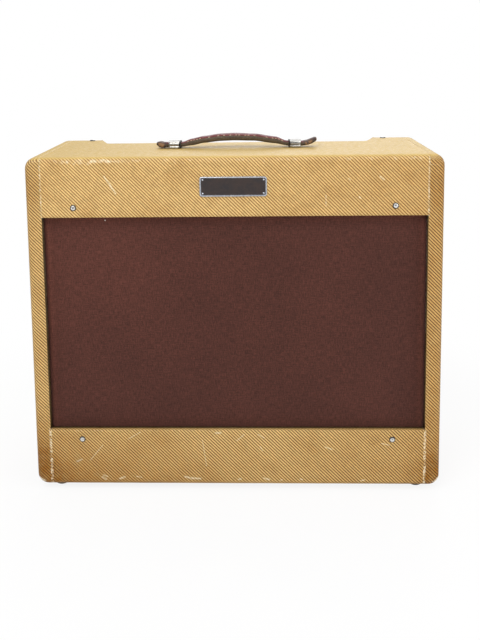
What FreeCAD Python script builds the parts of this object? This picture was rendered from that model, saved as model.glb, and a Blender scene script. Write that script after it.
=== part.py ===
"""Open-back guitar amplifier: a finger-jointed pine box covered in woven cloth, two ten-inch
speakers behind a recessed grille, and a valve chassis hung under the top board.

Lengths are millimetres. X runs across the front with +X to the right of someone facing it,
Y runs from the front (-Y) to the back, and Z runs up from the floor. The origin is on the
floor, under the middle of the box.
"""
import FreeCAD, Part
import math
import os
import re

import Sketcher
from FreeCAD import Placement, Rotation, Vector

# ---------------------------------------------------------------- driving sizes, in mm
SIZES = {
    # box, outside over the cloth; its width follows from the speakers in it
    "cab_height": 461,
    "cab_depth": 254,
    "top_depth": 235,
    "foot_height": 9,
    "foot_radius": 11,
    "foot_tip_radius": 7.5,
    "foot_side": 3,
    "foot_inset_side": 29.5,
    "foot_inset_front": 25,
    "board": 19,
    "cloth": 1,
    "corner_round": 15,
    "edge_round": 7,
    "finger": 18,
    # how far cutters reach past what they cut
    "over": 5,
    # front
    "lower_panel_height": 80.6,
    "upper_panel_height": 81.6,
    "panel_board": 11,
    "grille_cloth": 0.8,
    "baffle_board": 12,
    "baffle_side_gap": 3,
    "baffle_end_gap": 16,
    "high_screw_side": 64.5,
    "high_screw_drop": 68,
    "low_screw_side": 65.5,
    "low_screw_rise": 67,
    "shank_end": 6,
    # recess for the controls, cut in the rear of the top board
    "recess_depth": 56.4,
    "recess_side_lap": 43,
    "recess_flare": 17,
    "recess_round": 9,
    # back
    "back_board": 8,
    "back_side_gap": 1,
    "back_top_gap": 0.6,
    "lower_back_height": 118,
    "upper_back_height": 96,
    "cleat": 17,
    "back_screw_inset": 22,
    # badge
    "badge_width": 90,
    "badge_height": 27,
    "badge_plate": 2,
    "badge_rim": 1.9,
    "badge_step": 0.6,
    "badge_corner": 3.4,
    "badge_drop": 40.6,
    "badge_pin_inset": 4.4,
    "badge_pin": 0.7,
    "badge_pin_head": 1.4,
    "badge_pin_rise": 0.8,
    # handle
    "handle_setback": 106,
    "cap_spacing": 173,
    "cap_length": 15.8,
    "cap_width": 26,
    "cap_height": 10.4,
    "cap_sheet": 1.2,
    "cap_round": 4,
    "cap_foot": 9,
    "cap_screw_edge": 1,
    "strap_length": 227,
    "strap_width": 25,
    "strap_neck_width": 18,
    "strap_thickness": 10,
    "strap_end_thickness": 6.3,
    "strap_rise": 20.7,
    "strap_lift": 2.6,
    "strap_travel": 3,
    "strap_slack": 0.5,
    "strap_arch_half": 30,
    "strap_arch_bend": 150,
    "strap_grip_half": 40,
    "strap_tip_lift": 1,
    "strap_corner": 3,
    "strap_taper": 2,
    # speakers
    "frame_width": 257,
    "frame_side_gap": 3,
    "speaker_nest": 1,
    "speaker_stagger": 68,
    "rim_land": 12.5,
    "bolt_inset": 6,
    "bolt_end": 7,
    "hole_step": 1,
    "frame_sheet": 1.6,
    "frame_step": 12,
    "frame_depth": 66,
    "frame_neck": 96,
    "shelf_width": 124,
    "shelf_depth": 54,
    "window_inner": 140,
    "window_margin": 5,
    "window_step": 1,
    "window_half_angle": 14,
    "gasket": 3,
    "surround": 0.8,
    "surround_clear": 0.5,
    "roll": 9,
    "roll_clear": 4,
    "roll_skin": 0.4,
    "cone_paper": 1,
    "cone_bow": 260,
    "cone_throat_gap": 2.6,
    "dust_lap": 6,
    "dust_drop": 4.6,
    "dust_rise": 7.4,
    "dust_inner_lap": 3,
    "dust_inner_drop": 4,
    "spider_land": 2,
    "spider_clear": 1,
    "coil_width": 38,
    "coil_wall": 0.8,
    "coil_length": 34,
    "coil_gap": 1.2,
    "coil_room": 6,
    "motor_hole_lip": 2,
    "pole_gap": 1.2,
    "motor_plate_width": 92,
    "motor_plate": 5,
    "motor_width": 78,
    "motor_length": 44,
    "motor_round": 8,
    # chassis
    "chassis_side_gap": 3.5,
    "chassis_height": 64,
    "chassis_sheet": 1.5,
    "chassis_bend": 3,
    "chassis_lap": 8.6,
    "chassis_rear_gap": 2,
    "chassis_shelf_gap": 1,
    "chassis_screw_side": 13,
    "chassis_screw_rear": 12,
    "chassis_screw_length": 27,
    "control_setback": 26,
    "row_end_gap": 22,
    "jack_bush": 4.7,
    "jack_bore": 3.25,
    "jack_rise": 4.5,
    "jack_length": 24,
    "jack_body": 8,
    "jack_wall": 1.5,
    "shaft": 3,
    "shaft_fit": 0.06,
    "pot_bush": 4.7,
    "pot_width": 24,
    "pot_body": 11,
    "pot_wall": 1.5,
    "pot_bush_rise": 4,
    "knob_skirt": 9.5,
    "knob_skirt_height": 3,
    "knob_skirt_lap": 1,
    "knob_tail_inset": 2,
    "knob_length": 16,
    "knob_height": 12.5,
    "knob_blade": 3.2,
    "knob_point": 0.9,
    "knob_point_bend": 1.2,
    "knob_soft": 0.7,
    "knob_bush_clear": 0.8,
    "knob_roof": 3,
    "shaft_foot": 2,
    "knob_gap": 0.4,
    "nut_width": 14,
    "nut_height": 2.2,
    "switch_nut_width": 16,
    "switch_bush": 5.8,
    "switch_rise": 5,
    "switch_body": 24,
    "switch_half_width": 7,
    "switch_bush_foot": 2,
    "pivot_depth": 3,
    "well_depth": 4,
    "well_height": 4.5,
    "funnel_height": 2.5,
    "funnel_lip": 1.2,
    "lever_ball": 2.4,
    "lever_fit": 0.08,
    "lever_throw": 12,
    "lever_length": 14,
    "lever_tip": 2.6,
    "lever_neck": 1.5,
    "lamp_bezel": 9.5,
    "lamp_jewel": 6.5,
    "lamp_wall": 1.3,
    "lamp_depth": 18,
    "bezel_edge": 1,
    "bezel_height": 3,
    "bezel_lip": 1,
    "jewel_fit": 0.1,
    "jewel_depth": 6,
    "jewel_rise": 6,
    "fuse_bush": 6.3,
    "fuse_cap": 7.4,
    "fuse_length": 30,
    "fuse_flange": 1,
    "fuse_flange_height": 2,
    "fuse_height": 9,
    "fuse_taper": 1,
    # valves
    "tube_setback": 29,
    "octal_socket": 16,
    "octal_lip": 2.5,
    "octal_depth": 6,
    "octal_flange": 2,
    "octal_base": 16.5,
    "octal_base_height": 14,
    "octal_glass": 15.2,
    "octal_glass_height": 62,
    "octal_dome": 9,
    "small_socket": 10.5,
    "small_lip": 1.5,
    "small_depth": 5,
    "small_flange": 2.5,
    "small_shield": 12,
    "shield_wall": 1,
    "shield_vent": 5,
    "small_shield_height": 50,
    "glass_wall": 1,
    # transformers
    "mains_gap": 13,
    "mains_core_width": 84,
    "mains_core_height": 34,
    "mains_bell": 17,
    "output_gap": 8,
    "output_core_width": 62,
    "output_core_height": 26,
    "output_bell": 13,
    "core_depth": 46,
    "bell_side": 7,
    "bell_end": 4,
    "transformer_round": 4,
    # circuit board inside the chassis
    "circuit_low": 12,
    "circuit_high": 38,
    "circuit_standoff": 5,
    "circuit_sheet": 2,
    "standoff_radius": 3,
    "standoff_inset": 6,
    "capacitor_radius": 4.5,
    "capacitor_length": 24,
    "capacitor_sink": 0.5,
    "capacitor_inset": 18,
    # small hardware
    "screw": 2.4,
    "screw_head": 4.2,
    "screw_head_height": 1.9,
    "small_screw": 1.6,
    "small_head": 3,
    "small_head_edge": 0.6,
    "small_head_rise": 0.5,
    "wood_screw_length": 14,
    "wood_screw_point": 2,
    "drill_gap": 0.1,
    "cable_bore": 4,
    "cable_hole": 8,
    "grommet_inset": 19,
    "grommet_lip": 2,
    "grommet_low": 3,
    "grommet_high": 2.5,
    "hex_nut": 8,
    "hex_nut_height": 3.2,
}

# ------------------------------------------------- places worked out from the driving sizes
PLACES = {
    # speakers, and the box that is made round them
    "speaker_spacing": "frame_width - speaker_nest",
    "frame_lip": "frame_width - 2*rim_land",
    "bolt_circle": "frame_width - 2*bolt_inset",
    "speaker_hole": "frame_lip - 2*hole_step",
    "window_outer": "frame_lip - 2*window_margin",
    "cab_width": "speaker_spacing + frame_width + 2*(frame_side_gap + board + cloth)",
    "half": "cab_width/2",
    "front": "-cab_depth/2",
    "base": "foot_height",
    "crown": "foot_height + cab_height",
    "rear_low": "front + cab_depth",
    "rear_high": "front + top_depth",
    "slope": "(rear_low - rear_high)/cab_height",
    "inner_half": "half - cloth - board",
    "seam": "half - cloth - board - cloth",
    "inner_base": "base + cloth + board",
    "inner_crown": "crown - cloth - board",
    "wood_front": "front + cloth",
    "grille_front": "front + cloth + panel_board",
    "grille_back": "front + cloth + panel_board + grille_cloth",
    "baffle_back": "front + cloth + panel_board + grille_cloth + baffle_board",
    "lower_edge": "base + lower_panel_height",
    "upper_edge": "crown - upper_panel_height",
    "grille_middle": "(lower_edge + upper_edge)/2",
    "baffle_half": "inner_half - baffle_side_gap",
    "baffle_low": "inner_base + baffle_end_gap",
    "baffle_high": "inner_crown - baffle_end_gap",
    # opening over the controls
    "chassis_half": "inner_half - cleat - chassis_side_gap",
    "recess_front": "rear_high - recess_depth",
    "recess_front_half": "chassis_half - recess_side_lap",
    "recess_rear_half": "recess_front_half + recess_flare",
    # baffle screws
    "screw_high_x": "half - high_screw_side",
    "screw_low_x": "half - low_screw_side",
    "screw_high": "crown - high_screw_drop",
    "screw_low": "base + low_screw_rise",
    "screw_hole": "screw + drill_gap",
    "small_hole": "small_screw + drill_gap",
    # speakers, seen from the mounting face of the baffle
    "speaker_x": "speaker_spacing/2",
    "rim_depth": "gasket + surround",
    "cone_edge": "frame_lip/2 - roll_clear - roll",
    "motor_face": "rim_depth + frame_depth",
    "shelf_face": "rim_depth + shelf_depth",
    # chassis
    "chassis_top": "inner_crown",
    "chassis_low": "inner_crown - chassis_height",
    "panel_under": "inner_crown - chassis_sheet",
    "shelf_top": "chassis_low + chassis_sheet",
    "chassis_web": "recess_front - chassis_lap",
    "chassis_rear": "rear_high - chassis_rear_gap",
    "shelf_rear": "rear_low - slope*(chassis_low - base) - cloth - back_board - chassis_shelf_gap",
    "control_y": "rear_high - control_setback",
    "control_step": "(recess_front_half - row_end_gap)/6",
    "mains_half": "mains_core_width/2",
    "output_half": "output_core_width/2",
    "grommet_x": "-chassis_half + grommet_inset",
    "mains_place": "grommet_x + cable_hole + grommet_lip + mains_gap + mains_half",
    "output_place": "chassis_half - output_gap - output_half",
    # the valves stand evenly between the transformers
    "tube_start": "mains_place + mains_half",
    "tube_end": "output_place - output_half",
    "tube_gap": "(tube_end - tube_start - 6*octal_base - 6*small_shield)/7",
    "tube_y": "chassis_web + tube_setback",
    "back_low_top": "inner_base + lower_back_height",
    "back_high_top": "chassis_top - chassis_sheet - back_top_gap",
    "back_high_low": "back_high_top - upper_back_height",
    # handle
    "handle_y": "front + handle_setback",
    "cap_x": "cap_spacing/2",
    "strap_low": "crown + strap_lift",
}

doc = FreeCAD.newDocument("guitar_amplifier")
sheet = doc.addObject("Spreadsheet::Sheet", "sizes")
places = doc.addObject("App::VarSet", "places")
gauge = doc.addObject("App::VarSet", "gauge")
PIECES = []
TINY = 0.01     # two places closer than this count as one


def words(text):
    """An expression in plain names, with each name pointed at the sheet or at the places."""
    def point(match):
        name = match.group()
        if name in SIZES:
            return "sizes." + name
        if name in PLACES:
            return "places." + name
        return name
    return re.sub(r"[a-z][a-z_]*", point, str(text))


def fill_sheet():
    for row, (name, size) in enumerate(SIZES.items(), start=1):
        sheet.set(f"A{row}", name)
        sheet.set(f"B{row}", str(size))
        sheet.setAlias(f"B{row}", name)
    doc.recompute()
    for name, text in PLACES.items():
        places.addProperty("App::PropertyFloat", name)
        places.setExpression(name, words(text))
    gauge.addProperty("App::PropertyFloat", "reading")
    doc.recompute()


def value(text):
    """The present value of an expression in the named sizes."""
    gauge.setExpression("reading", words(text))
    gauge.recompute()
    return gauge.reading


# ---------------------------------------------------------------- sketches and features
def bulged(start, end, radius):
    """The short arc from start to end; a negative radius turns clockwise."""
    chord = end - start
    half = chord.Length / 2
    rise = math.sqrt(max(radius * radius - half * half, 0))
    side = Vector(-chord.y, chord.x, 0).normalize()
    centre = (start + end) * 0.5 + side * math.copysign(rise, radius)
    first, last = (start, end) if radius > 0 else (end, start)
    turn = [math.atan2(p.y - centre.y, p.x - centre.x) for p in (first, last)]
    circle = Part.Circle(centre, Vector(0, 0, 1), abs(radius))
    return Part.ArcOfCircle(circle, turn[0], turn[1])


def fix_point(sketch, geometry, tag, spot, x, y):
    for kind, text, number in (("DistanceX", x, spot.x), ("DistanceY", y, spot.y)):
        index = sketch.addConstraint(Sketcher.Constraint(kind, -1, 1, geometry, tag, number))
        sketch.setExpression(f"Constraints[{index}]", words(text))


def draw_outline(sketch, outline):
    """A closed outline. (x, y) is reached by a straight line, (x, y, radius) by an arc."""
    spots = [Vector(value(point[0]), value(point[1]), 0) for point in outline]
    first = sketch.GeometryCount
    ends = []
    for index, point in enumerate(outline):
        start = spots[index - 1]
        if len(point) == 2:
            sketch.addGeometry(Part.LineSegment(start, spots[index]), False)
            ends.append((1, 2))
            continue
        radius = value(point[2])
        sketch.addGeometry(bulged(start, spots[index], radius), False)
        ends.append((1, 2) if radius > 0 else (2, 1))
    for index, point in enumerate(outline):
        following = (index + 1) % len(outline)
        here = first + index
        join = Sketcher.Constraint("Coincident", here, ends[index][1],
                                   first + following, ends[following][0])
        sketch.addConstraint(join)
        fix_point(sketch, here, ends[index][1], spots[index], point[0], point[1])
        if len(point) == 3:
            radius = abs(value(point[2]))
            bend = sketch.addConstraint(Sketcher.Constraint("Radius", here, radius))
            sketch.setExpression(f"Constraints[{bend}]", "abs(" + words(point[2]) + ")")


def draw_circle(sketch, x, y, radius):
    centre = Vector(value(x), value(y), 0)
    size = value(radius)
    index = sketch.addGeometry(Part.Circle(centre, Vector(0, 0, 1), size), False)
    fix_point(sketch, index, 3, centre, x, y)
    bend = sketch.addConstraint(Sketcher.Constraint("Radius", index, size))
    sketch.setExpression(f"Constraints[{bend}]", words(radius))


def oblong(left, right, low, high):
    return [(left, low), (right, low), (right, high), (left, high)]


def new_body(label):
    body = doc.addObject("PartDesign::Body", label)
    body.Label = label
    return body


def new_sketch(body, plane, outlines=(), circles=(), lift="0"):
    """A sketch on one of the body's own planes, lifted along the plane's normal."""
    sketch = body.newObject("Sketcher::SketchObject", body.Name + "_sketch")
    support = next(f for f in body.Origin.OriginFeatures if f.Role == plane)
    sketch.AttachmentSupport = [(support, "")]
    sketch.MapMode = "FlatFace"
    sketch.setExpression("AttachmentOffset.Base.z", words(lift))
    for outline in outlines:
        draw_outline(sketch, outline)
    for circle in circles:
        draw_circle(sketch, *circle)
    return sketch


def pad(body, sketch, length, midplane=False, backwards=False):
    feature = body.newObject("PartDesign::Pad", body.Name + "_pad")
    feature.Profile = sketch
    feature.SideType = "Symmetric" if midplane else "One side"
    feature.Reversed = backwards
    feature.setExpression("Length", words(length))
    doc.recompute()
    return feature


def pocket(body, sketch, length, backwards=False, midplane=False):
    before = body.Shape.Volume
    feature = body.newObject("PartDesign::Pocket", body.Name + "_pocket")
    feature.Profile = sketch
    feature.SideType = "Symmetric" if midplane else "One side"
    feature.Reversed = backwards
    feature.setExpression("Length", words(length))
    doc.recompute()
    if body.Shape.Volume > before - TINY:
        raise RuntimeError(f"{feature.Name} takes nothing away")
    return feature


def revolve(body, sketch, axis="V_Axis"):
    feature = body.newObject("PartDesign::Revolution", body.Name + "_turned")
    feature.Profile = sketch
    feature.ReferenceAxis = (sketch, [axis])
    feature.Angle = 360
    doc.recompute()
    return feature


def ring_pattern(body, feature, count, axis="Z_Axis"):
    pattern = body.newObject("PartDesign::PolarPattern", body.Name + "_ring")
    pattern.Originals = [feature]
    turn = next(f for f in body.Origin.OriginFeatures if f.Role == axis)
    pattern.Axis = (turn, [""])
    pattern.Angle = 360
    pattern.Occurrences = count
    body.Tip = pattern
    doc.recompute()
    return pattern


def soften(body, radius, wanted):
    """A fillet on each edge that the test picks."""
    base = body.Tip
    names = [f"Edge{n}" for n, edge in enumerate(base.Shape.Edges, start=1) if wanted(edge)]
    if not names:
        raise RuntimeError(f"{body.Name} has no edge to round")
    feature = body.newObject("PartDesign::Fillet", body.Name + "_round")
    feature.Base = (base, names)
    feature.setExpression("Radius", words(radius))
    doc.recompute()
    return feature


def runs_along(edge, axis):
    """True for an edge that runs straight along one axis: 0 is X, 1 is Y and 2 is Z."""
    box = edge.BoundBox
    lengths = [box.XLength, box.YLength, box.ZLength]
    along = lengths.pop(axis)
    return along > TINY and max(lengths) < TINY


# ---------------------------------------------------------------- Part primitives
def place(thing, x, y, z, rotation=None):
    if rotation is not None:
        thing.Placement = Placement(Vector(), rotation)
    for axis, text in (("x", x), ("y", y), ("z", z)):
        thing.setExpression("Placement.Base." + axis, words(text))
    return thing


def block(x, y, z, label="block"):
    """A box between three (low, high) pairs."""
    box = doc.addObject("Part::Box", label)
    for side, (low, high) in (("Length", x), ("Width", y), ("Height", z)):
        box.setExpression(side, words(f"({high}) - ({low})"))
    return place(box, x[0], y[0], z[0])


def rod(radius, length, x, y, z, rotation=None, label="rod"):
    cylinder = doc.addObject("Part::Cylinder", label)
    cylinder.setExpression("Radius", words(radius))
    cylinder.setExpression("Height", words(length))
    return place(cylinder, x, y, z, rotation)


def joined(shapes, label="joined"):
    if len(shapes) == 1:
        return shapes[0]
    fusion = doc.addObject("Part::MultiFuse", label)
    fusion.Shapes = shapes
    fusion.Refine = True
    return fusion


def group(shapes, label="group"):
    compound = doc.addObject("Part::Compound", label)
    compound.Links = shapes
    return compound


def overlap(first, second, label="overlap"):
    common = doc.addObject("Part::Common", label)
    common.Base = first
    common.Tool = second
    return common


def cut(base, tools, label="cut"):
    tool = tools[0] if len(tools) == 1 else joined(tools)
    result = doc.addObject("Part::Cut", label)
    result.Base = base
    result.Tool = tool
    result.Refine = True
    return result


def mirrored(source, label="mirrored"):
    twin = doc.addObject("Part::Mirroring", label)
    twin.Source = source
    twin.Normal = Vector(1, 0, 0)
    return twin


def cap(radius, rise):
    """The radius of a round cap that meets its axis squarely."""
    return f"(({radius})^2 + ({rise})^2)/(2*({rise}))"


def turned(label, outline, spots, rotation=None):
    """Copies of one solid of revolution; the outline's points are radius and height."""
    copies = []
    for spot in spots:
        body = new_body(label + "_turned")
        sketch = new_sketch(body, "XZ_Plane", [outline])
        revolve(body, sketch)
        place(body, spot[0], spot[1], spot[2], rotation)
        copies.append(body)
    return copies


def keep(thing, label):
    """Mark a finished sub-part."""
    thing.Label = label
    PIECES.append(thing)
    return thing


WOOD_SCREW = [("0", "-wood_screw_length"), ("small_screw", "-wood_screw_length + wood_screw_point"),
              ("small_screw", "0"), ("small_head", "0"), ("small_head", "small_head_edge"),
              ("0", "small_head_edge + small_head_rise", cap("small_head", "small_head_rise"))]
UP_IS_FRONT = Rotation(Vector(1, 0, 0), 90)
UP_IS_BACK = Rotation(Vector(1, 0, 0), -90)
UPSIDE_DOWN = Rotation(Vector(1, 0, 0), 180)


# ---------------------------------------------------------------- box
def rounded_box(label, inset):
    """The outside of the box, drawn in by inset, with its edges rounded."""
    body = new_body(label)
    rear_low = f"rear_low - ({inset}) - slope*({inset})"
    rear_high = f"rear_high - ({inset}) + slope*({inset})"
    side = [(f"front + {inset}", f"base + {inset}"), (rear_low, f"base + {inset}"),
            (rear_high, f"crown - {inset}"), (f"front + {inset}", f"crown - {inset}")]
    sketch = new_sketch(body, "YZ_Plane", [side])
    pad(body, sketch, f"cab_width - 2*({inset})", midplane=True)
    soften(body, f"corner_round - {inset}", lambda edge: runs_along(edge, 1))
    faces = body.Tip.Shape.Faces
    first = min(faces, key=lambda face: face.CenterOfMass.y)
    last = max(faces, key=lambda face: face.CenterOfMass.y)
    rims = first.Edges + last.Edges
    soften(body, f"edge_round - {inset}", lambda edge: any(edge.isSame(rim) for rim in rims))
    return body


def finger_slots(low, high):
    """Every second finger's width along a joint, from the front to the back of the box."""
    depth = value("cab_depth")
    finger = value("finger")
    count = int(math.ceil(depth / (2 * finger)))
    slots = []
    for index in range(count):
        start = f"wood_front + {2 * index + 1}*finger"
        slots.append(block(("-half - over", "half + over"), (start, start + " + finger"), (low, high)))
    return group(slots)


def recess(inset, bottom):
    """The cutter for the opening over the controls, flared toward the back."""
    body = new_body("recess")
    front = f"recess_front - {inset}"
    half = f"recess_front_half + {inset}"
    wide = f"recess_rear_half + {inset}"
    outline = [(f"-({half})", front), (half, front), (wide, "rear_high"), (wide, "rear_low + over"),
               (f"-({wide})", "rear_low + over"), (f"-({wide})", "rear_high")]
    sketch = new_sketch(body, "XY_Plane", [outline], lift=bottom)
    pad(body, sketch, f"crown + over - ({bottom})")
    limit = value(front) + TINY
    soften(body, f"recess_round + {inset}",
           lambda edge: runs_along(edge, 2) and edge.BoundBox.YMin < limit)
    return body


def baffle_screw_spots():
    return [("-screw_high_x", "screw_high"), ("screw_high_x", "screw_high"),
            ("-screw_low_x", "screw_low"), ("screw_low_x", "screw_low")]


def baffle_drills():
    return group([rod("screw_hole", "baffle_back - front + 2*over", x, "front - over", z, UP_IS_BACK)
                  for x, z in baffle_screw_spots()])


def handle_screw_spots():
    """Two screws under each cap, front and back of the strap."""
    spots = []
    for side in ("-cap_x", "cap_x"):
        for across in ("-", "+"):
            spots.append((side, f"handle_y {across} (cap_width/2 - cap_foot/2 - cap_screw_edge)"))
    return spots


def handle_drills():
    return group([rod("small_hole", "wood_screw_length + over", x, y, "crown - wood_screw_length")
                  for x, y in handle_screw_spots()])


def chassis_screw_spots():
    return [(f"{side}(chassis_half - chassis_screw_side)", "chassis_rear - chassis_screw_rear")
            for side in ("-", "")]


def chassis_drills():
    return group([rod("screw_hole", "crown - panel_under + 2*over", x, y, "panel_under - over")
                  for x, y in chassis_screw_spots()])


def build_box():
    skin = rounded_box("skin", "0")
    core = rounded_box("core", "cloth")
    drills = baffle_drills()
    holes = handle_drills()
    hanging = chassis_drills()

    whole_width = ("-half - over", "half + over")
    whole_depth = ("front - over", "rear_low + over")
    whole_height = ("0", "crown + over")
    left_zone = block(("-half - over", "-inner_half"), whole_depth, whole_height)
    comb = group([finger_slots("inner_crown", "crown"), finger_slots("base", "inner_base")])
    side = cut(overlap(core, left_zone), [comb], "side_board_left")
    keep(side, "side_board_left")
    other_side = keep(mirrored(side), "side_board_right")

    top_slab = overlap(core, block(whole_width, whole_depth, ("inner_crown", "crown + over")))
    wood_recess = recess("cloth", "inner_crown - over")
    keep(cut(top_slab, [side, other_side, wood_recess, holes, hanging]), "top_board")
    bottom_slab = overlap(core, block(whole_width, whole_depth, ("0", "inner_base")))
    keep(cut(bottom_slab, [side, other_side]), "bottom_board")

    flank = ("-half - over", "-seam")
    tweed_left = keep(cut(overlap(skin, block(flank, whole_depth, whole_height)), [core]), "tweed_left")
    keep(mirrored(tweed_left), "tweed_right")

    middle = ("-seam", "seam")
    front_depth = ("front - over", "wood_front + edge_round")
    top_zone = joined([block(middle, whole_depth, ("inner_crown", "crown + over")),
                       block(middle, front_depth, ("upper_edge", "crown + over"))])
    lined_core = cut(core, [recess("cloth", "inner_crown")])
    top_cloth = cut(overlap(skin, top_zone), [lined_core])
    top_hem = block(middle, ("wood_front", "grille_front"), ("upper_edge", "upper_edge + cloth"))
    opening = recess("0", "inner_crown - over")
    keep(cut(joined([top_cloth, top_hem]), [opening, drills, holes, hanging]), "tweed_top")

    low_zone = joined([block(middle, whole_depth, ("0", "inner_base")),
                       block(middle, front_depth, ("0", "lower_edge"))])
    low_cloth = cut(overlap(skin, low_zone), [core])
    low_hem = block(middle, ("wood_front", "grille_front"), ("lower_edge - cloth", "lower_edge"))
    keep(cut(joined([low_cloth, low_hem]), [drills]), "tweed_bottom")

    upper = block(("-inner_half", "inner_half"), ("wood_front", "grille_front"),
                  ("upper_edge + cloth", "inner_crown"))
    keep(cut(upper, [drills]), "upper_front_panel")
    lower = block(("-inner_half", "inner_half"), ("wood_front", "grille_front"),
                  ("inner_base", "lower_edge - cloth"))
    keep(cut(lower, [drills]), "lower_front_panel")


# ---------------------------------------------------------------- baffle, grille, back
def speaker_centres():
    """Left speaker high, right speaker low, seen from the front."""
    return {"left": ("-speaker_x", "grille_middle + speaker_stagger/2"),
            "right": ("speaker_x", "grille_middle - speaker_stagger/2")}


def speaker_bolt_spots():
    spots = []
    for x, z in speaker_centres().values():
        for angle in (45, 135, 225, 315):
            spots.append((f"{x} + bolt_circle/2*cos({angle})", f"{z} + bolt_circle/2*sin({angle})"))
    return spots


def build_baffle():
    body = new_body("baffle_board")
    outline = oblong("-baffle_half", "baffle_half", "baffle_low", "baffle_high")
    holes = [(x, z, "speaker_hole/2") for x, z in speaker_centres().values()]
    sketch = new_sketch(body, "XZ_Plane", [outline], holes, lift="-baffle_back")
    pad(body, sketch, "baffle_board")
    bolts = [(x, z, "screw_hole") for x, z in speaker_bolt_spots() + baffle_screw_spots()]
    drilled = new_sketch(body, "XZ_Plane", [], bolts, lift="-baffle_back")
    pocket(body, drilled, "baffle_board", backwards=True)
    keep(body, "baffle_board")

    cloth = block(("-baffle_half", "baffle_half"), ("grille_front", "grille_back"),
                  ("baffle_low", "baffle_high"))
    keep(cut(cloth, [baffle_drills()]), "grille_cloth")

    dome = [("0", "0"), ("screw_head", "0"),
            ("0", "screw_head_height", cap("screw_head", "screw_head_height"))]
    heads = turned("dome", dome, [(x, "front", z) for x, z in baffle_screw_spots()], UP_IS_FRONT)
    shanks = [rod("screw", "baffle_back - front + shank_end", x, "front", z, UP_IS_BACK)
              for x, z in baffle_screw_spots()]
    keep(group([joined([head, shank]) for head, shank in zip(heads, shanks)]), "baffle_screws")
    return [hex_nut(x, "baffle_back", z, "screw_hole", "hex_nut", "hex_nut_height", UP_IS_BACK)
            for x, z in baffle_screw_spots()]


def hex_nut(x, y, z, bore, width, height, rotation=None):
    """A six-sided nut standing on the given point."""
    prism = doc.addObject("Part::Prism", "prism")
    prism.Polygon = 6
    prism.setExpression("Circumradius", words(f"({width})/2/cos(30)"))
    prism.setExpression("Height", words(height))
    place(prism, x, y, z, rotation)
    hole = rod(bore, height, x, y, z, rotation)
    return cut(prism, [hole], "nut")


def leaning_board(label, depth, thickness, low, high, start, width):
    """A board that follows the box's sloped back, at a depth in from the back's own plane."""
    body = new_body(label)
    low_y, high_y = [f"rear_low - slope*({level} - base) - ({depth})" for level in (low, high)]
    side = [(f"{low_y} - {thickness}", low), (low_y, low), (high_y, high),
            (f"{high_y} - {thickness}", high)]
    pad(body, new_sketch(body, "YZ_Plane", [side], lift=start), width)
    return body


def build_back():
    lower_span = ("inner_base", "back_low_top")
    upper_span = ("back_high_low", "back_high_top")
    spots = []
    for side in ("-", ""):
        for low, high in (lower_span, upper_span):
            for level in (f"{low} + back_screw_inset", f"{high} - back_screw_inset"):
                face = f"rear_low - cloth - slope*({level} - base)"
                spots.append((f"{side}(inner_half - cleat/2)", face, level))
    lean = Rotation(Vector(1, 0, 0), -90 + math.degrees(math.atan(value("slope"))))
    reach = "(back_board + cleat)"
    drills = group([rod("small_hole", f"{reach} + over", x, f"{y} - {reach}", f"{z} - {reach}*slope",
                        lean) for x, y, z in spots])

    cleats = []
    panel_start, panel_width = "back_side_gap - inner_half", "2*(inner_half - back_side_gap)"
    for label, (low, high) in (("lower", lower_span), ("upper", upper_span)):
        panel = leaning_board(label, "cloth", "back_board", low, high, panel_start, panel_width)
        keep(cut(panel, [drills]), label + "_back_panel")
        for start in ("-inner_half", "inner_half - cleat"):
            cleat = leaning_board("cleat", "cloth + back_board", "cleat", low, high, start, "cleat")
            cleats.append(cut(cleat, [drills]))
    keep(group(cleats), "back_cleats")

    return turned("back_screw", WOOD_SCREW, spots, lean)


# ---------------------------------------------------------------- badge, handle, feet
def build_badge():
    body = new_body("badge_plate")
    middle = "crown - badge_drop"
    outline = oblong("-badge_width/2", "badge_width/2", f"{middle} - badge_height/2",
                     f"{middle} + badge_height/2")
    sketch = new_sketch(body, "XZ_Plane", [outline], lift="-front")
    pad(body, sketch, "badge_plate")
    soften(body, "badge_corner", lambda edge: runs_along(edge, 1))
    field = oblong("-badge_width/2 + badge_rim", "badge_width/2 - badge_rim",
                   f"{middle} - badge_height/2 + badge_rim", f"{middle} + badge_height/2 - badge_rim")
    sunk = new_sketch(body, "XZ_Plane", [field], lift="badge_plate - front")
    pocket(body, sunk, "badge_step")
    spots = []
    for side in ("-", ""):
        for level in ("-", "+"):
            spots.append((f"{side}(badge_width/2 - badge_pin_inset)",
                          f"{middle} {level} (badge_height/2 - badge_pin_inset)"))
    pins = [(x, z, "badge_pin") for x, z in spots]
    drilled = new_sketch(body, "XZ_Plane", [], pins, lift="badge_plate - front")
    pocket(body, drilled, "badge_plate")
    keep(body, "badge_plate")
    face = "badge_plate - badge_step"
    pin = [("0", "0"), ("badge_pin", "0"), ("badge_pin", face), ("badge_pin_head", face),
           ("0", f"{face} + badge_pin_rise", cap("badge_pin_head", "badge_pin_rise"))]
    keep(group(turned("pin", pin, [(x, "front", z) for x, z in spots], UP_IS_FRONT)), "badge_pins")


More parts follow.
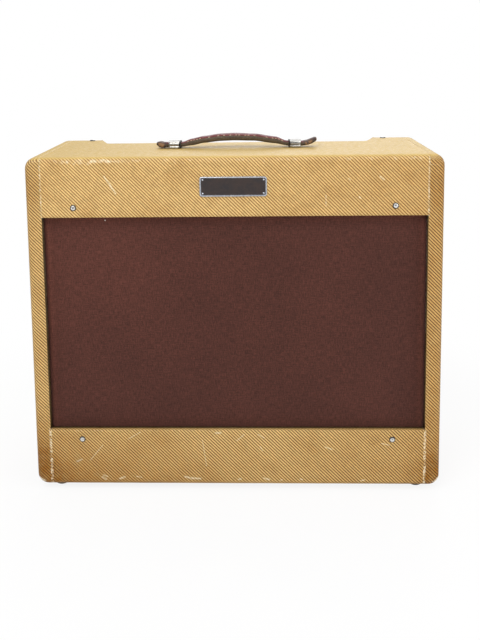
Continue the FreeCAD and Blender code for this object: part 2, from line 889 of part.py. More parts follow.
def build_handle():
    caps = []
    for centre in ("-cap_x", "cap_x"):
        body = new_body("cap")
        outer = oblong("handle_y - cap_width/2", "handle_y + cap_width/2",
                       "crown", "crown + cap_height")
        sketch = new_sketch(body, "YZ_Plane", [outer], lift=f"{centre} - cap_length/2")
        pad(body, sketch, "cap_length")
        top = value("crown + cap_height") - TINY
        soften(body, "cap_round", lambda edge: runs_along(edge, 0) and edge.BoundBox.ZMax > top)
        inner = oblong("handle_y - cap_width/2 + cap_sheet", "handle_y + cap_width/2 - cap_sheet",
                       "crown + cap_sheet", "crown + cap_height - cap_sheet")
        channel = new_sketch(body, "YZ_Plane", [inner], lift=f"{centre} - cap_length/2")
        pocket(body, channel, "cap_length", backwards=True)
        gap = oblong("handle_y - cap_width/2 + cap_foot", "handle_y + cap_width/2 - cap_foot",
                     "crown", "crown + cap_sheet")
        slot = new_sketch(body, "YZ_Plane", [gap], lift=f"{centre} - cap_length/2")
        pocket(body, slot, "cap_length", backwards=True)
        caps.append(body)
    drills = handle_drills()
    keep(group([cut(cap, [drills]) for cap in caps]), "handle_caps")
    spots = [(x, y, "crown + cap_sheet") for x, y in handle_screw_spots()]
    screws = turned("handle_screw", WOOD_SCREW, spots)

    side = new_body("strap_side")
    end = "strap_length/2"
    play = "(cap_length/2 + strap_travel + strap_slack)"
    neck = f"cap_x + {play}"
    shoulder = f"cap_x - {play}"
    low = "strap_low"
    high = "strap_low + strap_end_thickness"
    tip = f"{high} + strap_tip_lift"
    peak = "crown + strap_rise"
    under = f"{peak} - strap_thickness"
    arch = "strap_arch_half"
    bend = "strap_arch_bend"
    profile = [(f"-({end})", low), (f"-({neck})", low), (f"-({shoulder})", low),
               (f"-{arch}", under, f"-{bend}"), (arch, under), (shoulder, low, f"-{bend}"),
               (neck, low), (end, low), (end, tip), (neck, high), (shoulder, high),
               (arch, peak, bend), (f"-{arch}", peak), (f"-({shoulder})", high, bend),
               (f"-({neck})", high), (f"-({end})", tip)]
    sketch = new_sketch(side, "XZ_Plane", [profile], lift="-handle_y")
    pad(side, sketch, "strap_width + over", midplane=True)
    plan = new_body("strap_plan")
    half_plan = [("strap_grip_half", "strap_width/2"), (shoulder, "strap_neck_width/2"),
                 (f"{neck} + strap_taper", "strap_neck_width/2"),
                 (f"{end} - strap_corner", "strap_width/2"), (end, "strap_width/2 - strap_corner"),
                 (end, "strap_corner - strap_width/2"), (f"{end} - strap_corner", "-strap_width/2"),
                 (f"{neck} + strap_taper", "-strap_neck_width/2"), (shoulder, "-strap_neck_width/2"),
                 ("strap_grip_half", "-strap_width/2")]
    outline = [(x, f"handle_y + {y}") for x, y in half_plan]
    outline += [(f"-({x})", f"handle_y - ({y})") for x, y in half_plan]
    sketch = new_sketch(plan, "XY_Plane", [outline], lift="crown")
    pad(plan, sketch, "strap_rise + over")
    keep(overlap(side, plan), "handle_strap")
    return screws


def build_feet():
    dome = [("0", "0"), ("foot_tip_radius", "0"),
            ("foot_radius", "foot_height - foot_side", "foot_height*1.1"),
            ("foot_radius", "foot_height"), ("0", "foot_height")]
    spots = []
    for side in ("-", ""):
        for depth in ("front + foot_inset_front", "rear_low - foot_inset_front"):
            spots.append((f"{side}(half - foot_inset_side)", depth, "0"))
    keep(group(turned("foot", dome, spots)), "glide_feet")


# ---------------------------------------------------------------- speakers
def build_speaker(side):
    x, z = speaker_centres()[side]
    spot = (x, "baffle_back", z)
    rim = "frame_width/2"
    lip = "frame_lip/2"
    shelf = "shelf_width/2"
    neck = "frame_neck/2"
    hole = "coil_width/2 + coil_gap + motor_hole_lip"

    frame = new_body("frame_" + side)
    section = [("speaker_hole/2", "rim_depth"), (rim, "rim_depth"), (rim, "rim_depth + frame_sheet"),
               (lip + " + frame_sheet", "rim_depth + frame_sheet"),
               (lip + " + frame_sheet", "rim_depth + frame_step"),
               (shelf + " + frame_sheet", "shelf_face"), (neck + " + frame_sheet", "shelf_face"),
               (neck + " + frame_sheet", "motor_face"), (hole, "motor_face"),
               (hole, "motor_face - frame_sheet"), (neck, "motor_face - frame_sheet"),
               (neck, "shelf_face - frame_sheet"), (shelf, "shelf_face - frame_sheet"),
               (lip, "rim_depth + frame_step"), (lip, "rim_depth + frame_sheet"),
               ("speaker_hole/2", "rim_depth + frame_sheet")]
    revolve(frame, new_sketch(frame, "XZ_Plane", [section]))
    near, far, spread = "window_inner/2", "window_outer/2", "window_half_angle"
    window = [(f"{near}*cos({spread})", f"{near}*sin({spread})"),
              (f"{near}*cos({spread})", f"-{near}*sin({spread})", f"-{near}"),
              (f"{far}*cos({spread})", f"-{far}*sin({spread})"),
              (f"{far}*cos({spread})", f"{far}*sin({spread})", far)]
    sketch = new_sketch(frame, "XY_Plane", [window], lift="rim_depth + frame_sheet + window_step")
    opening = pocket(frame, sketch, "shelf_depth", backwards=True)
    ring_pattern(frame, opening, 8)
    bolts = [(f"bolt_circle/2*cos({angle})", f"bolt_circle/2*sin({angle})", "screw_hole")
             for angle in (45, 135, 225, 315)]
    drilled = new_sketch(frame, "XY_Plane", [], bolts, lift="rim_depth")
    pocket(frame, drilled, "frame_sheet + window_step", backwards=True)
    place(frame, *spot, UP_IS_BACK)
    keep(frame, "speaker_frame_" + side)

    gasket = new_body("gasket_" + side)
    rings = [("0", "0", rim), ("0", "0", lip)]
    pad(gasket, new_sketch(gasket, "XY_Plane", [], rings), "rim_depth")
    pocket(gasket, new_sketch(gasket, "XY_Plane", [], bolts), "rim_depth", backwards=True)
    place(gasket, *spot, UP_IS_BACK)

    motor = new_body("motor_" + side)
    pole = "coil_width/2 - coil_wall - pole_gap"
    bore = "coil_width/2 + coil_gap"
    floor = "motor_face + coil_length/2 + coil_room"
    outline = [("0", "motor_face"), (pole, "motor_face"), (pole, floor), (bore, floor),
               (bore, "motor_face"), ("motor_plate_width/2", "motor_face"),
               ("motor_plate_width/2", "motor_face + motor_plate"),
               ("motor_width/2", "motor_face + motor_plate"),
               ("motor_width/2", "motor_face + motor_length - motor_round"),
               ("motor_width/2 - motor_round", "motor_face + motor_length", "motor_round"),
               ("0", "motor_face + motor_length")]
    revolve(motor, new_sketch(motor, "XZ_Plane", [outline]))
    place(motor, *spot, UP_IS_BACK)
    keep(motor, "speaker_motor_" + side)

    cone = new_body("cone_" + side)
    coil = "coil_width/2"
    inner = "coil_width/2 - coil_wall"
    throat = "shelf_face - frame_sheet - surround - cone_throat_gap"
    dust_top = throat + " - dust_drop - dust_rise"
    inner_rise = "dust_drop + dust_rise - cone_paper - dust_inner_drop"
    outline = [("cone_edge", "gasket"), (coil + " + dust_lap", throat + " - dust_drop", "cone_bow"),
               ("0", dust_top, "-" + cap(coil + " + dust_lap", "dust_rise")),
               ("0", dust_top + " + cone_paper"),
               (inner + " + dust_inner_lap", throat + " - dust_inner_drop",
                cap(inner + " + dust_inner_lap", inner_rise)),
               (inner, throat), (inner, "motor_face + coil_length/2"),
               (coil, "motor_face + coil_length/2"), (coil, throat),
               ("cone_edge", "gasket + cone_paper", "-cone_bow")]
    revolve(cone, new_sketch(cone, "XZ_Plane", [outline]))
    place(cone, *spot, UP_IS_BACK)
    keep(cone, "speaker_cone_" + side)

    surround = new_body("surround_" + side)
    outline = [("cone_edge", "gasket"), ("cone_edge + roll", "gasket", "-roll*0.55"),
               (lip + " - surround_clear", "gasket"), (lip + " - surround_clear", "rim_depth"),
               ("cone_edge + roll - roll_skin", "rim_depth"),
               ("cone_edge + roll_skin", "rim_depth", "roll*0.5"), ("cone_edge", "rim_depth")]
    revolve(surround, new_sketch(surround, "XZ_Plane", [outline]))
    place(surround, *spot, UP_IS_BACK)
    keep(surround, "speaker_surround_" + side)

    spider = new_body("spider_" + side)
    back = "shelf_face - frame_sheet"
    reach = "(frame_neck/2 - spider_clear - coil_width/2)/6"
    outline = [(coil, f"{back} - surround")]
    for wave in range(1, 7):
        bend = "-" if wave % 2 else ""
        outline.append((f"{coil} + {wave}*{reach}", f"{back} - surround", f"{bend}{reach}*0.8"))
    outline.append(("shelf_width/2 - spider_land", f"{back} - surround"))
    outline.append(("shelf_width/2 - spider_land", back))
    outline.append((f"{coil} + 6*{reach}", back))
    for wave in range(5, -1, -1):
        bend = "-" if wave % 2 else ""
        outline.append((f"{coil} + {wave}*{reach}", back, f"{bend}{reach}*0.8"))
    revolve(spider, new_sketch(spider, "XZ_Plane", [outline]))
    place(spider, *spot, UP_IS_BACK)
    keep(spider, "speaker_spider_" + side)
    return gasket


def build_speakers():
    keep(group([build_speaker(side) for side in ("left", "right")]), "speaker_gaskets")
    start = "grille_back"
    length = "baffle_board + rim_depth + frame_sheet + bolt_end"
    bolts = [rod("screw", length, x, start, z, UP_IS_BACK) for x, z in speaker_bolt_spots()]
    keep(group(bolts), "speaker_bolts")
    seat = "baffle_back + rim_depth + frame_sheet"
    return [hex_nut(x, seat, z, "screw_hole", "hex_nut", "hex_nut_height", UP_IS_BACK)
            for x, z in speaker_bolt_spots()]


# ---------------------------------------------------------------- chassis and controls
def along_row(steps):
    """Places along the control row, counted in steps from its middle."""
    return [f"{step}*control_step" for step in steps]


KNOBS = along_row((1.5, 0, -1.5))
JACKS = along_row((6, 5, 4, 3))
SWITCHES = along_row((-3, -4))
FUSE, LAMP = along_row((-5, -6))
BIG_TUBES = [f"tube_start + {index + 1}*tube_gap + {2*index + 1}*octal_base" for index in range(3)]
SMALL_TUBES = [f"tube_end - {index + 1}*tube_gap - {2*index + 1}*small_shield" for index in range(3)]


def build_chassis():
    body = new_body("chassis")
    inner_web = "chassis_web + chassis_sheet"
    side = [("chassis_web", "chassis_low"), ("shelf_rear", "chassis_low"), ("shelf_rear", "shelf_top"),
            (inner_web, "shelf_top"), (inner_web, "panel_under"), ("chassis_rear", "panel_under"),
            ("chassis_rear", "chassis_top"), ("chassis_web", "chassis_top")]
    sketch = new_sketch(body, "YZ_Plane", [side])
    pad(body, sketch, "2*chassis_half", midplane=True)
    web = value("chassis_web")
    inner = web + value("chassis_sheet")
    soften(body, "chassis_bend",
           lambda edge: runs_along(edge, 0) and edge.BoundBox.YMax < web + TINY)
    soften(body, "chassis_bend - chassis_sheet",
           lambda edge: runs_along(edge, 0) and abs(edge.BoundBox.YMin - inner) < TINY)
    row = "control_y"
    holes = [(x, row, "jack_bush + drill_gap") for x in JACKS]
    holes += [(x, row, "pot_bush + drill_gap") for x in KNOBS]
    holes += [(x, row, "switch_bush + drill_gap") for x in SWITCHES]
    holes += [(FUSE, row, "fuse_bush + drill_gap"), (LAMP, row, "lamp_jewel + lamp_wall + drill_gap")]
    holes += [(x, y, "screw_hole") for x, y in chassis_screw_spots()]
    pocket(body, new_sketch(body, "XY_Plane", [], holes, lift="chassis_top"), "chassis_sheet")
    holes = [(x, "tube_y", "octal_socket - octal_lip + drill_gap") for x in BIG_TUBES]
    holes += [(x, "tube_y", "small_socket - small_lip + drill_gap") for x in SMALL_TUBES]
    holes += [("grommet_x", "tube_y", "cable_hole")]
    pocket(body, new_sketch(body, "XY_Plane", [], holes, lift="shelf_top"), "chassis_sheet")
    keep(body, "chassis")

    tip = "-chassis_screw_length"
    screw = [("0", tip), ("screw", tip), ("screw", "0"), ("screw_head", "0"),
             ("0", "screw_head_height", cap("screw_head", "screw_head_height"))]
    spots = [(x, y, "crown") for x, y in chassis_screw_spots()]
    keep(group(turned("chassis_screw", screw, spots)), "chassis_screws")
    return [hex_nut(x, y, "panel_under - hex_nut_height", "screw_hole", "hex_nut", "hex_nut_height")
            for x, y in chassis_screw_spots()]


def build_knob(x, label):
    """A pointer knob and the shaft that it is pushed on."""
    floor = "chassis_top + nut_height + knob_gap"
    body = new_body("knob")
    pad(body, new_sketch(body, "XY_Plane", [], [("0", "0", "knob_skirt")]), "knob_skirt_height")
    tail = "-(knob_skirt - knob_tail_inset)*0.6"
    blade = [(tail, "-knob_blade", "knob_blade*1.15"), ("knob_length", "-knob_point"),
             ("knob_length", "knob_point", "knob_point_bend"), (tail, "knob_blade")]
    root = "(knob_skirt_height - knob_skirt_lap)"
    pad(body, new_sketch(body, "XY_Plane", [blade], lift=root), f"knob_height - {root}")
    top = value("knob_height") - TINY
    soften(body, "knob_soft", lambda edge: edge.BoundBox.ZMin > top)
    pocket(body, new_sketch(body, "XY_Plane", [], [("0", "0", "pot_bush + knob_bush_clear")]),
           "pot_bush_rise - nut_height", backwards=True)
    pocket(body, new_sketch(body, "XY_Plane", [], [("0", "0", "shaft")]),
           "knob_height - knob_roof", backwards=True)
    place(body, x, "control_y", floor, Rotation(Vector(0, 0, 1), -120))
    keep(body, label + "_knob")
    foot = "panel_under - pot_body + shaft_foot"
    keep(rod("shaft", f"{floor} + knob_height - knob_roof - ({foot})", x, "control_y", foot),
         label + "_shaft")


def build_controls():
    for x, label in zip(KNOBS, ("bright_volume", "normal_volume", "tone")):
        build_knob(x, label)
    bush_top = "chassis_sheet + pot_bush_rise"
    pot = [("0", "-pot_body"), ("pot_width/2", "-pot_body"), ("pot_width/2", "0"), ("pot_bush", "0"),
           ("pot_bush", bush_top), ("shaft + shaft_fit", bush_top),
           ("shaft + shaft_fit", "-pot_body + pot_wall"), ("0", "-pot_body + pot_wall")]
    spots = [(x, "control_y", "panel_under") for x in KNOBS]
    keep(group(turned("pot", pot, spots)), "potentiometers")

    jack_top = "chassis_sheet + jack_rise"
    floor = "-jack_length + jack_wall"
    jack = [("0", "-jack_length"), ("jack_body", "-jack_length"), ("jack_body", "0"),
            ("jack_bush", "0"), ("jack_bush", jack_top), ("jack_bore", jack_top),
            ("jack_bore", floor), ("0", floor)]
    spots = [(x, "control_y", "panel_under") for x in JACKS]
    keep(group(turned("jack", jack, spots)), "input_jacks")

    housings = []
    pivot = "chassis_top + switch_rise - pivot_depth"
    throat = "lever_ball + lever_fit"
    lever = [("0", "-lever_ball"), ("lever_ball*0.8", "-lever_ball*0.6", "lever_ball"),
             ("lever_ball*0.8", "lever_ball*0.6", "lever_ball"), ("lever_neck", "lever_ball"),
             ("lever_tip", "lever_length - lever_tip"), ("0", "lever_length", "lever_tip")]
    names = ("power_toggle", "standby_toggle")
    thrown = Rotation(Vector(1, 0, 0), value("lever_throw"))
    levers = turned("lever", lever, [(x, "control_y", pivot) for x in SWITCHES], thrown)
    for x, lever_body, name in zip(SWITCHES, levers, names):
        keep(lever_body, name)
        shell = block((f"{x} - switch_half_width", f"{x} + switch_half_width"),
                      ("control_y - switch_body/2", "control_y + switch_body/2"),
                      ("panel_under - switch_body", "panel_under"))
        bush = rod("switch_bush", "switch_rise + chassis_sheet + switch_bush_foot", x, "control_y",
                   "panel_under - switch_bush_foot")
        socket = rod(throat, "well_height", x, "control_y", f"{pivot} - well_depth")
        funnel = doc.addObject("Part::Cone", "funnel")
        funnel.setExpression("Radius1", words(throat))
        funnel.setExpression("Radius2", words("switch_bush - funnel_lip"))
        funnel.setExpression("Height", words("funnel_height"))
        place(funnel, x, "control_y", f"{pivot} - well_depth + well_height")
        housings.append(cut(joined([shell, bush]), [socket, funnel]))
    keep(group(housings), "switch_housings")

    nuts = []
    for spots, bush, width in ((JACKS, "jack_bush", "nut_width"), (KNOBS, "pot_bush", "nut_width"),
                               (SWITCHES, "switch_bush", "switch_nut_width")):
        for x in spots:
            nuts.append(hex_nut(x, "control_y", "chassis_top", bush + " + drill_gap", width, "nut_height"))
    keep(group(nuts), "panel_nuts")

    wall = "lamp_jewel + lamp_wall"
    bezel = [("lamp_jewel", "-lamp_depth"), (wall, "-lamp_depth"), (wall, "0"), ("lamp_bezel", "0"),
             ("lamp_bezel", "bezel_edge"), ("lamp_jewel + bezel_lip", "bezel_height"),
             ("lamp_jewel", "bezel_height")]
    keep(turned("bezel", bezel, [(LAMP, "control_y", "chassis_top")])[0], "pilot_bezel")
    side = "lamp_jewel - jewel_fit"
    jewel = [("0", "-jewel_depth"), (side, "-jewel_depth"), (side, "bezel_height"),
             ("0", "bezel_height + jewel_rise", cap(side, "jewel_rise"))]
    keep(turned("jewel", jewel, [(LAMP, "control_y", "chassis_top")])[0], "pilot_jewel")
    flange = "fuse_cap + fuse_flange"
    fuse = [("0", "-fuse_length"), ("fuse_bush", "-fuse_length"), ("fuse_bush", "0"), (flange, "0"),
            (flange, "fuse_flange_height"), ("fuse_cap", "fuse_flange_height"),
            ("fuse_cap - fuse_taper", "fuse_height"), ("0", "fuse_height")]
    keep(turned("fuse", fuse, [(FUSE, "control_y", "chassis_top")])[0], "fuse_holder")


# ---------------------------------------------------------------- valves and transformers
def build_tubes():
    big = [(x, "tube_y", "chassis_low") for x in BIG_TUBES]
    small = [(x, "tube_y", "chassis_low") for x in SMALL_TUBES]
    sockets = []
    for size, spots in (("octal", big), ("small", small)):
        rim, radius, depth = f"{size}_socket - {size}_lip", f"{size}_socket", f"-{size}_depth"
        flange = f"{size}_flange"
        outline = [("0", depth), (rim, depth), (rim, "0"), (radius, "0"), (radius, flange), ("0", flange)]
        sockets += turned(size, outline, spots, UPSIDE_DOWN)
    keep(group(sockets), "tube_sockets")
    waist = "octal_flange + octal_base_height"
    plate = "octal_glass*0.55"
    plate_top = waist + " + octal_glass_height*0.66"
    base = [("0", "octal_flange"), ("octal_base", "octal_flange"), ("octal_base", waist),
            (plate, waist), (plate, plate_top), ("0", plate_top)]
    keep(group(turned("base", base, big, UPSIDE_DOWN)), "power_tube_bases")
    top = waist + " + octal_glass_height"
    shoulder = top + " - octal_dome"
    inner = "octal_glass - glass_wall"
    glass = [(inner, waist), ("octal_glass", waist), ("octal_glass", shoulder),
             ("0", top, cap("octal_glass", "octal_dome")), ("0", top + " - glass_wall"),
             (inner, shoulder, "-" + cap(inner, "octal_dome - glass_wall"))]
    keep(group(turned("glass", glass, big, UPSIDE_DOWN)), "power_tube_glass")
    far = "small_shield_height"
    inside = "small_shield - shield_wall"
    can = [(inside, "0"), ("small_shield", "0"), ("small_shield", far), ("shield_vent", far),
           ("shield_vent", far + " - shield_wall"), (inside, far + " - shield_wall")]
    keep(group(turned("can", can, small, UPSIDE_DOWN)), "preamp_tube_shields")


def transformer(kind, x):
    """A laminated core on the underside of the chassis, with a pressed cover below it."""
    body = new_body(kind)
    height = f"{kind}_core_height"
    half = f"{kind}_half"
    core = oblong(f"{x} - {half}", f"{x} + {half}", "tube_y - core_depth/2", "tube_y + core_depth/2")
    pad(body, new_sketch(body, "XY_Plane", [core], lift="chassis_low"), height, backwards=True)
    cover = oblong(f"{x} - {half} + bell_side", f"{x} + {half} - bell_side",
                   "tube_y - core_depth/2 + bell_end", "tube_y + core_depth/2 - bell_end")
    pad(body, new_sketch(body, "XY_Plane", [cover], lift=f"chassis_low - {height}"), f"{kind}_bell",
        backwards=True)
    floor = value(f"chassis_low - {height}") - TINY

    def on_cover(edge):
        box = edge.BoundBox
        return box.ZMax < floor or runs_along(edge, 2) and box.ZMin < floor

    soften(body, "transformer_round", on_cover)
    return body


def build_inside():
    keep(transformer("mains", "mains_place"), "power_transformer")
    keep(transformer("output", "output_place"), "output_transformer")
    left, right = BIG_TUBES[0], SMALL_TUBES[0]
    near = "chassis_web + chassis_sheet"
    face = f"{near} + circuit_standoff"
    low, high = "shelf_top + circuit_low", "shelf_top + circuit_high"
    middle = f"({low} + {high})/2"
    parts = [block((left, right), (face, f"{face} + circuit_sheet"), (low, high))]
    for x in (f"{left} + standoff_inset", f"{right} - standoff_inset"):
        parts.append(rod("standoff_radius", "circuit_standoff + circuit_sheet/2", x, near, middle,
                         UP_IS_BACK))
    along = Rotation(Vector(0, 1, 0), 90)
    room = f"(({right}) - ({left}) - 2*capacitor_inset - capacitor_length)"
    for index in range(5):
        parts.append(rod("capacitor_radius", "capacitor_length",
                         f"{left} + capacitor_inset + {index}*{room}/4",
                         f"{face} + circuit_sheet + capacitor_radius - capacitor_sink", middle, along))
    keep(joined(parts), "circuit_board")
    lip = "cable_hole + grommet_lip"
    neck = "cable_hole - drill_gap"
    top = "chassis_sheet + grommet_high"
    ring = [("cable_bore", "-grommet_low"), (lip, "-grommet_low"), (lip, "0"), (neck, "0"),
            (neck, "chassis_sheet"), (lip, "chassis_sheet"), (lip, top), ("cable_bore", top)]
    keep(turned("grommet", ring, [("grommet_x", "tube_y", "chassis_low")])[0], "cord_grommet")


def check_model():
    """Stop if any object failed, or any sub-part is empty or broken."""
    for thing in doc.Objects:
        if {"Invalid", "Error"} & set(thing.State):
            raise RuntimeError(f"{thing.Name} failed: {thing.State}")
    for piece in PIECES:
        if piece.Shape.isNull() or not piece.Shape.isValid():
            raise RuntimeError(f"{piece.Label} has no sound shape")


def write_pieces():
    os.makedirs("parts", exist_ok=True)
    for piece in PIECES:
        piece.Shape.exportStep(f"parts/{piece.Label}.step")


def main():
    fill_sheet()
    build_box()
    nuts = build_baffle()
    screws = build_back()
    build_badge()
    screws += build_handle()
    build_feet()
    nuts += build_speakers()
    nuts += build_chassis()
    build_controls()
    build_tubes()
    build_inside()
    keep(group(nuts), "hex_nuts")
    keep(group(screws), "wood_screws")
    doc.recompute()
    check_model()
    write_pieces()


main()
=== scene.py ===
"""Dresses the packed guitar amplifier: woven covering, grille linen, leather strap, plated
hardware, woodwork, speakers, controls, valves and a plain pale stage.

Lengths in the code are millimetres in the part's own frame (+X right, +Y back, +Z up) and
become metres where a mesh is made.
"""

import random
from math import atan, copysign, cos, dist, exp, pi, radians, sin, sqrt, tan

import bmesh
import bpy
from bpy.props import FloatProperty, FloatVectorProperty, IntProperty, PointerProperty
from mathutils import Matrix, Vector, noise


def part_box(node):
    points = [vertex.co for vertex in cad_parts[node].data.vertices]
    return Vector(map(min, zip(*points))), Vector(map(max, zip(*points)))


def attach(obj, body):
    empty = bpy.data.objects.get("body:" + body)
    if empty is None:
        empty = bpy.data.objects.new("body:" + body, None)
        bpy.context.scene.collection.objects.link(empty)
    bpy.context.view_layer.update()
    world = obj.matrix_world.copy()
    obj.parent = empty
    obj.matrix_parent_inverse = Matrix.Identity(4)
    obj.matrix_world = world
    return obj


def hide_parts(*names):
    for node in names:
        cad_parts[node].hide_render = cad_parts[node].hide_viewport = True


bl_info = {
    "name": "Guitar Amplifier Dressing",
    "version": (1, 0, 0),
    "blender": (4, 5, 0),
    "location": "View3D > Sidebar > Amplifier",
    "description": "Builds the covering, cloth, fittings and finishes of a guitar amplifier",
    "category": "Object",
}

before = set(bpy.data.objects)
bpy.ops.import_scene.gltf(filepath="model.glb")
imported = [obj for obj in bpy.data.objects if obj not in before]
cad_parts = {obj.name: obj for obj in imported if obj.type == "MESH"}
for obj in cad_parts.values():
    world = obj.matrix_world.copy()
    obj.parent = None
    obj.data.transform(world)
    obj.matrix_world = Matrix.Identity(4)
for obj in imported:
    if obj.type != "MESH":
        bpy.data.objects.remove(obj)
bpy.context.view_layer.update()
MM = 0.001


# places read from the frame
def span(node):
    """Lowest and highest corner of a CAD node, in millimetres."""
    low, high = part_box(node)
    return [c / MM for c in low], [c / MM for c in high]


def middle(node):
    """Centre of a CAD node, in millimetres."""
    low, high = span(node)
    return [(a + b) / 2 for a, b in zip(low, high)]


FLANK_LOW, FLANK_HIGH = span("tweed_left")
HALF = -FLANK_LOW[0]
SEAM = -FLANK_HIGH[0]
FRONT = FLANK_LOW[1]
REAR = FLANK_HIGH[1]
BASE = FLANK_LOW[2]
CROWN = FLANK_HIGH[2]
UPPER_EDGE = span("tweed_top")[0][2]
LOWER_EDGE = span("tweed_bottom")[1][2]
GRILLE_LOW, GRILLE_HIGH = span("grille_cloth")
GRILLE_FRONT = GRILLE_LOW[1]
INNER_BASE = span("bottom_board")[1][2]
INNER_CROWN = span("top_board")[0][2]
SLOPE = (REAR - span("tweed_top")[1][1]) / (INNER_CROWN - BASE)
CHASSIS_LAP = 8.6  # how far the covering lies over the front of the chassis
RECESS_FRONT = span("chassis")[0][1] + CHASSIS_LAP


def rear_at(z):
    """Depth of the sloping back at a height."""
    return REAR - SLOPE * (z - BASE)


def linear(red, green, blue):
    """A colour written as 0-255 display values, as the linear values that Blender keeps."""
    return tuple(((c / 255 + 0.055) / 1.055) ** 2.4 if c > 10 else c / 255 / 12.92
                 for c in (red, green, blue))


def colour(name, about, red, green, blue):
    return FloatVectorProperty(name=name, description=about, subtype="COLOR", size=3,
                               min=0, max=1, default=linear(red, green, blue))


def length(name, about, millimetres):
    return FloatProperty(name=name, description=about, default=millimetres, min=0, unit="NONE")


class AmpCoverSettings(bpy.types.PropertyGroup):
    """Sizes and colours of the woven covering."""
    corner_round: length("Corner round", "Radius of the box's long corners, in mm", 15)
    edge_round: length("Edge round", "Radius of the front and rear edges, in mm", 7)
    thread: length("Thread", "Width of one thread of the covering, in mm", 0.78)
    repeat: IntProperty(name="Twill repeat", description="Threads in one diagonal stripe pair",
                        default=6, min=3)
    recess_half: length("Recess front", "Half width of the control recess at its front, in mm", 196)
    recess_rear: length("Recess rear", "Half width of the control recess at its rear, in mm", 213)
    recess_round: length("Recess corner", "Radius of the recess's front corners, in mm", 9)
    light: colour("Light thread", "The straw-coloured threads", 224, 194, 129)
    dark: colour("Dark thread", "The brown threads", 134, 90, 46)
    # this colour is also laid on as painted highlight along the covering's front edges
    worn: colour("Worn thread", "Bare thread where the lacquer is rubbed off", 238, 226, 196)
    amber: colour("Aged lacquer", "Old lacquer gathered in corners", 188, 144, 24)


class AmpClothSettings(bpy.types.PropertyGroup):
    """Colours of the grille linen and the strap."""
    linen_light: colour("Linen light", "The paler linen thread", 87, 48, 39)
    linen_dark: colour("Linen dark", "The darker linen thread", 50, 26, 19)
    strap_red: colour("Strap top", "The dyed grain of the strap", 104, 36, 38)
    strap_edge: colour("Strap edge", "The bare layered edge of the leather", 82, 68, 50)
    strap_tan: colour("Strap tips", "Raw leather where the tips have frayed", 176, 132, 84)


class AmpStageSettings(bpy.types.PropertyGroup):
    """Light level of the stage."""
    key: FloatProperty(name="Key light", description="Power of the main soft light",
                       default=62, min=0, unit="POWER")
    fill: FloatProperty(name="Fill light", description="Power of the side fill",
                        default=24, min=0, unit="POWER")
    ambient: FloatProperty(name="Ambient", description="Strength of the surrounding light",
                           default=0.55, min=0)


# materials
def arithmetic(operation, swapped=False):
    """A method that joins a signal and another value in one math node."""
    def join(self, *other):
        return self.make.math(operation, *((*other, self) if swapped else (self, *other)))
    return join


class Signal:
    """A node's output that can stand in sums."""

    def __init__(self, make, socket):
        self.make, self.socket = make, socket

    __add__ = __radd__ = arithmetic("ADD")
    __mul__ = __rmul__ = arithmetic("MULTIPLY")
    __sub__ = arithmetic("SUBTRACT")
    __rsub__ = arithmetic("SUBTRACT", swapped=True)
    __truediv__ = arithmetic("DIVIDE")
    __abs__ = arithmetic("ABSOLUTE")


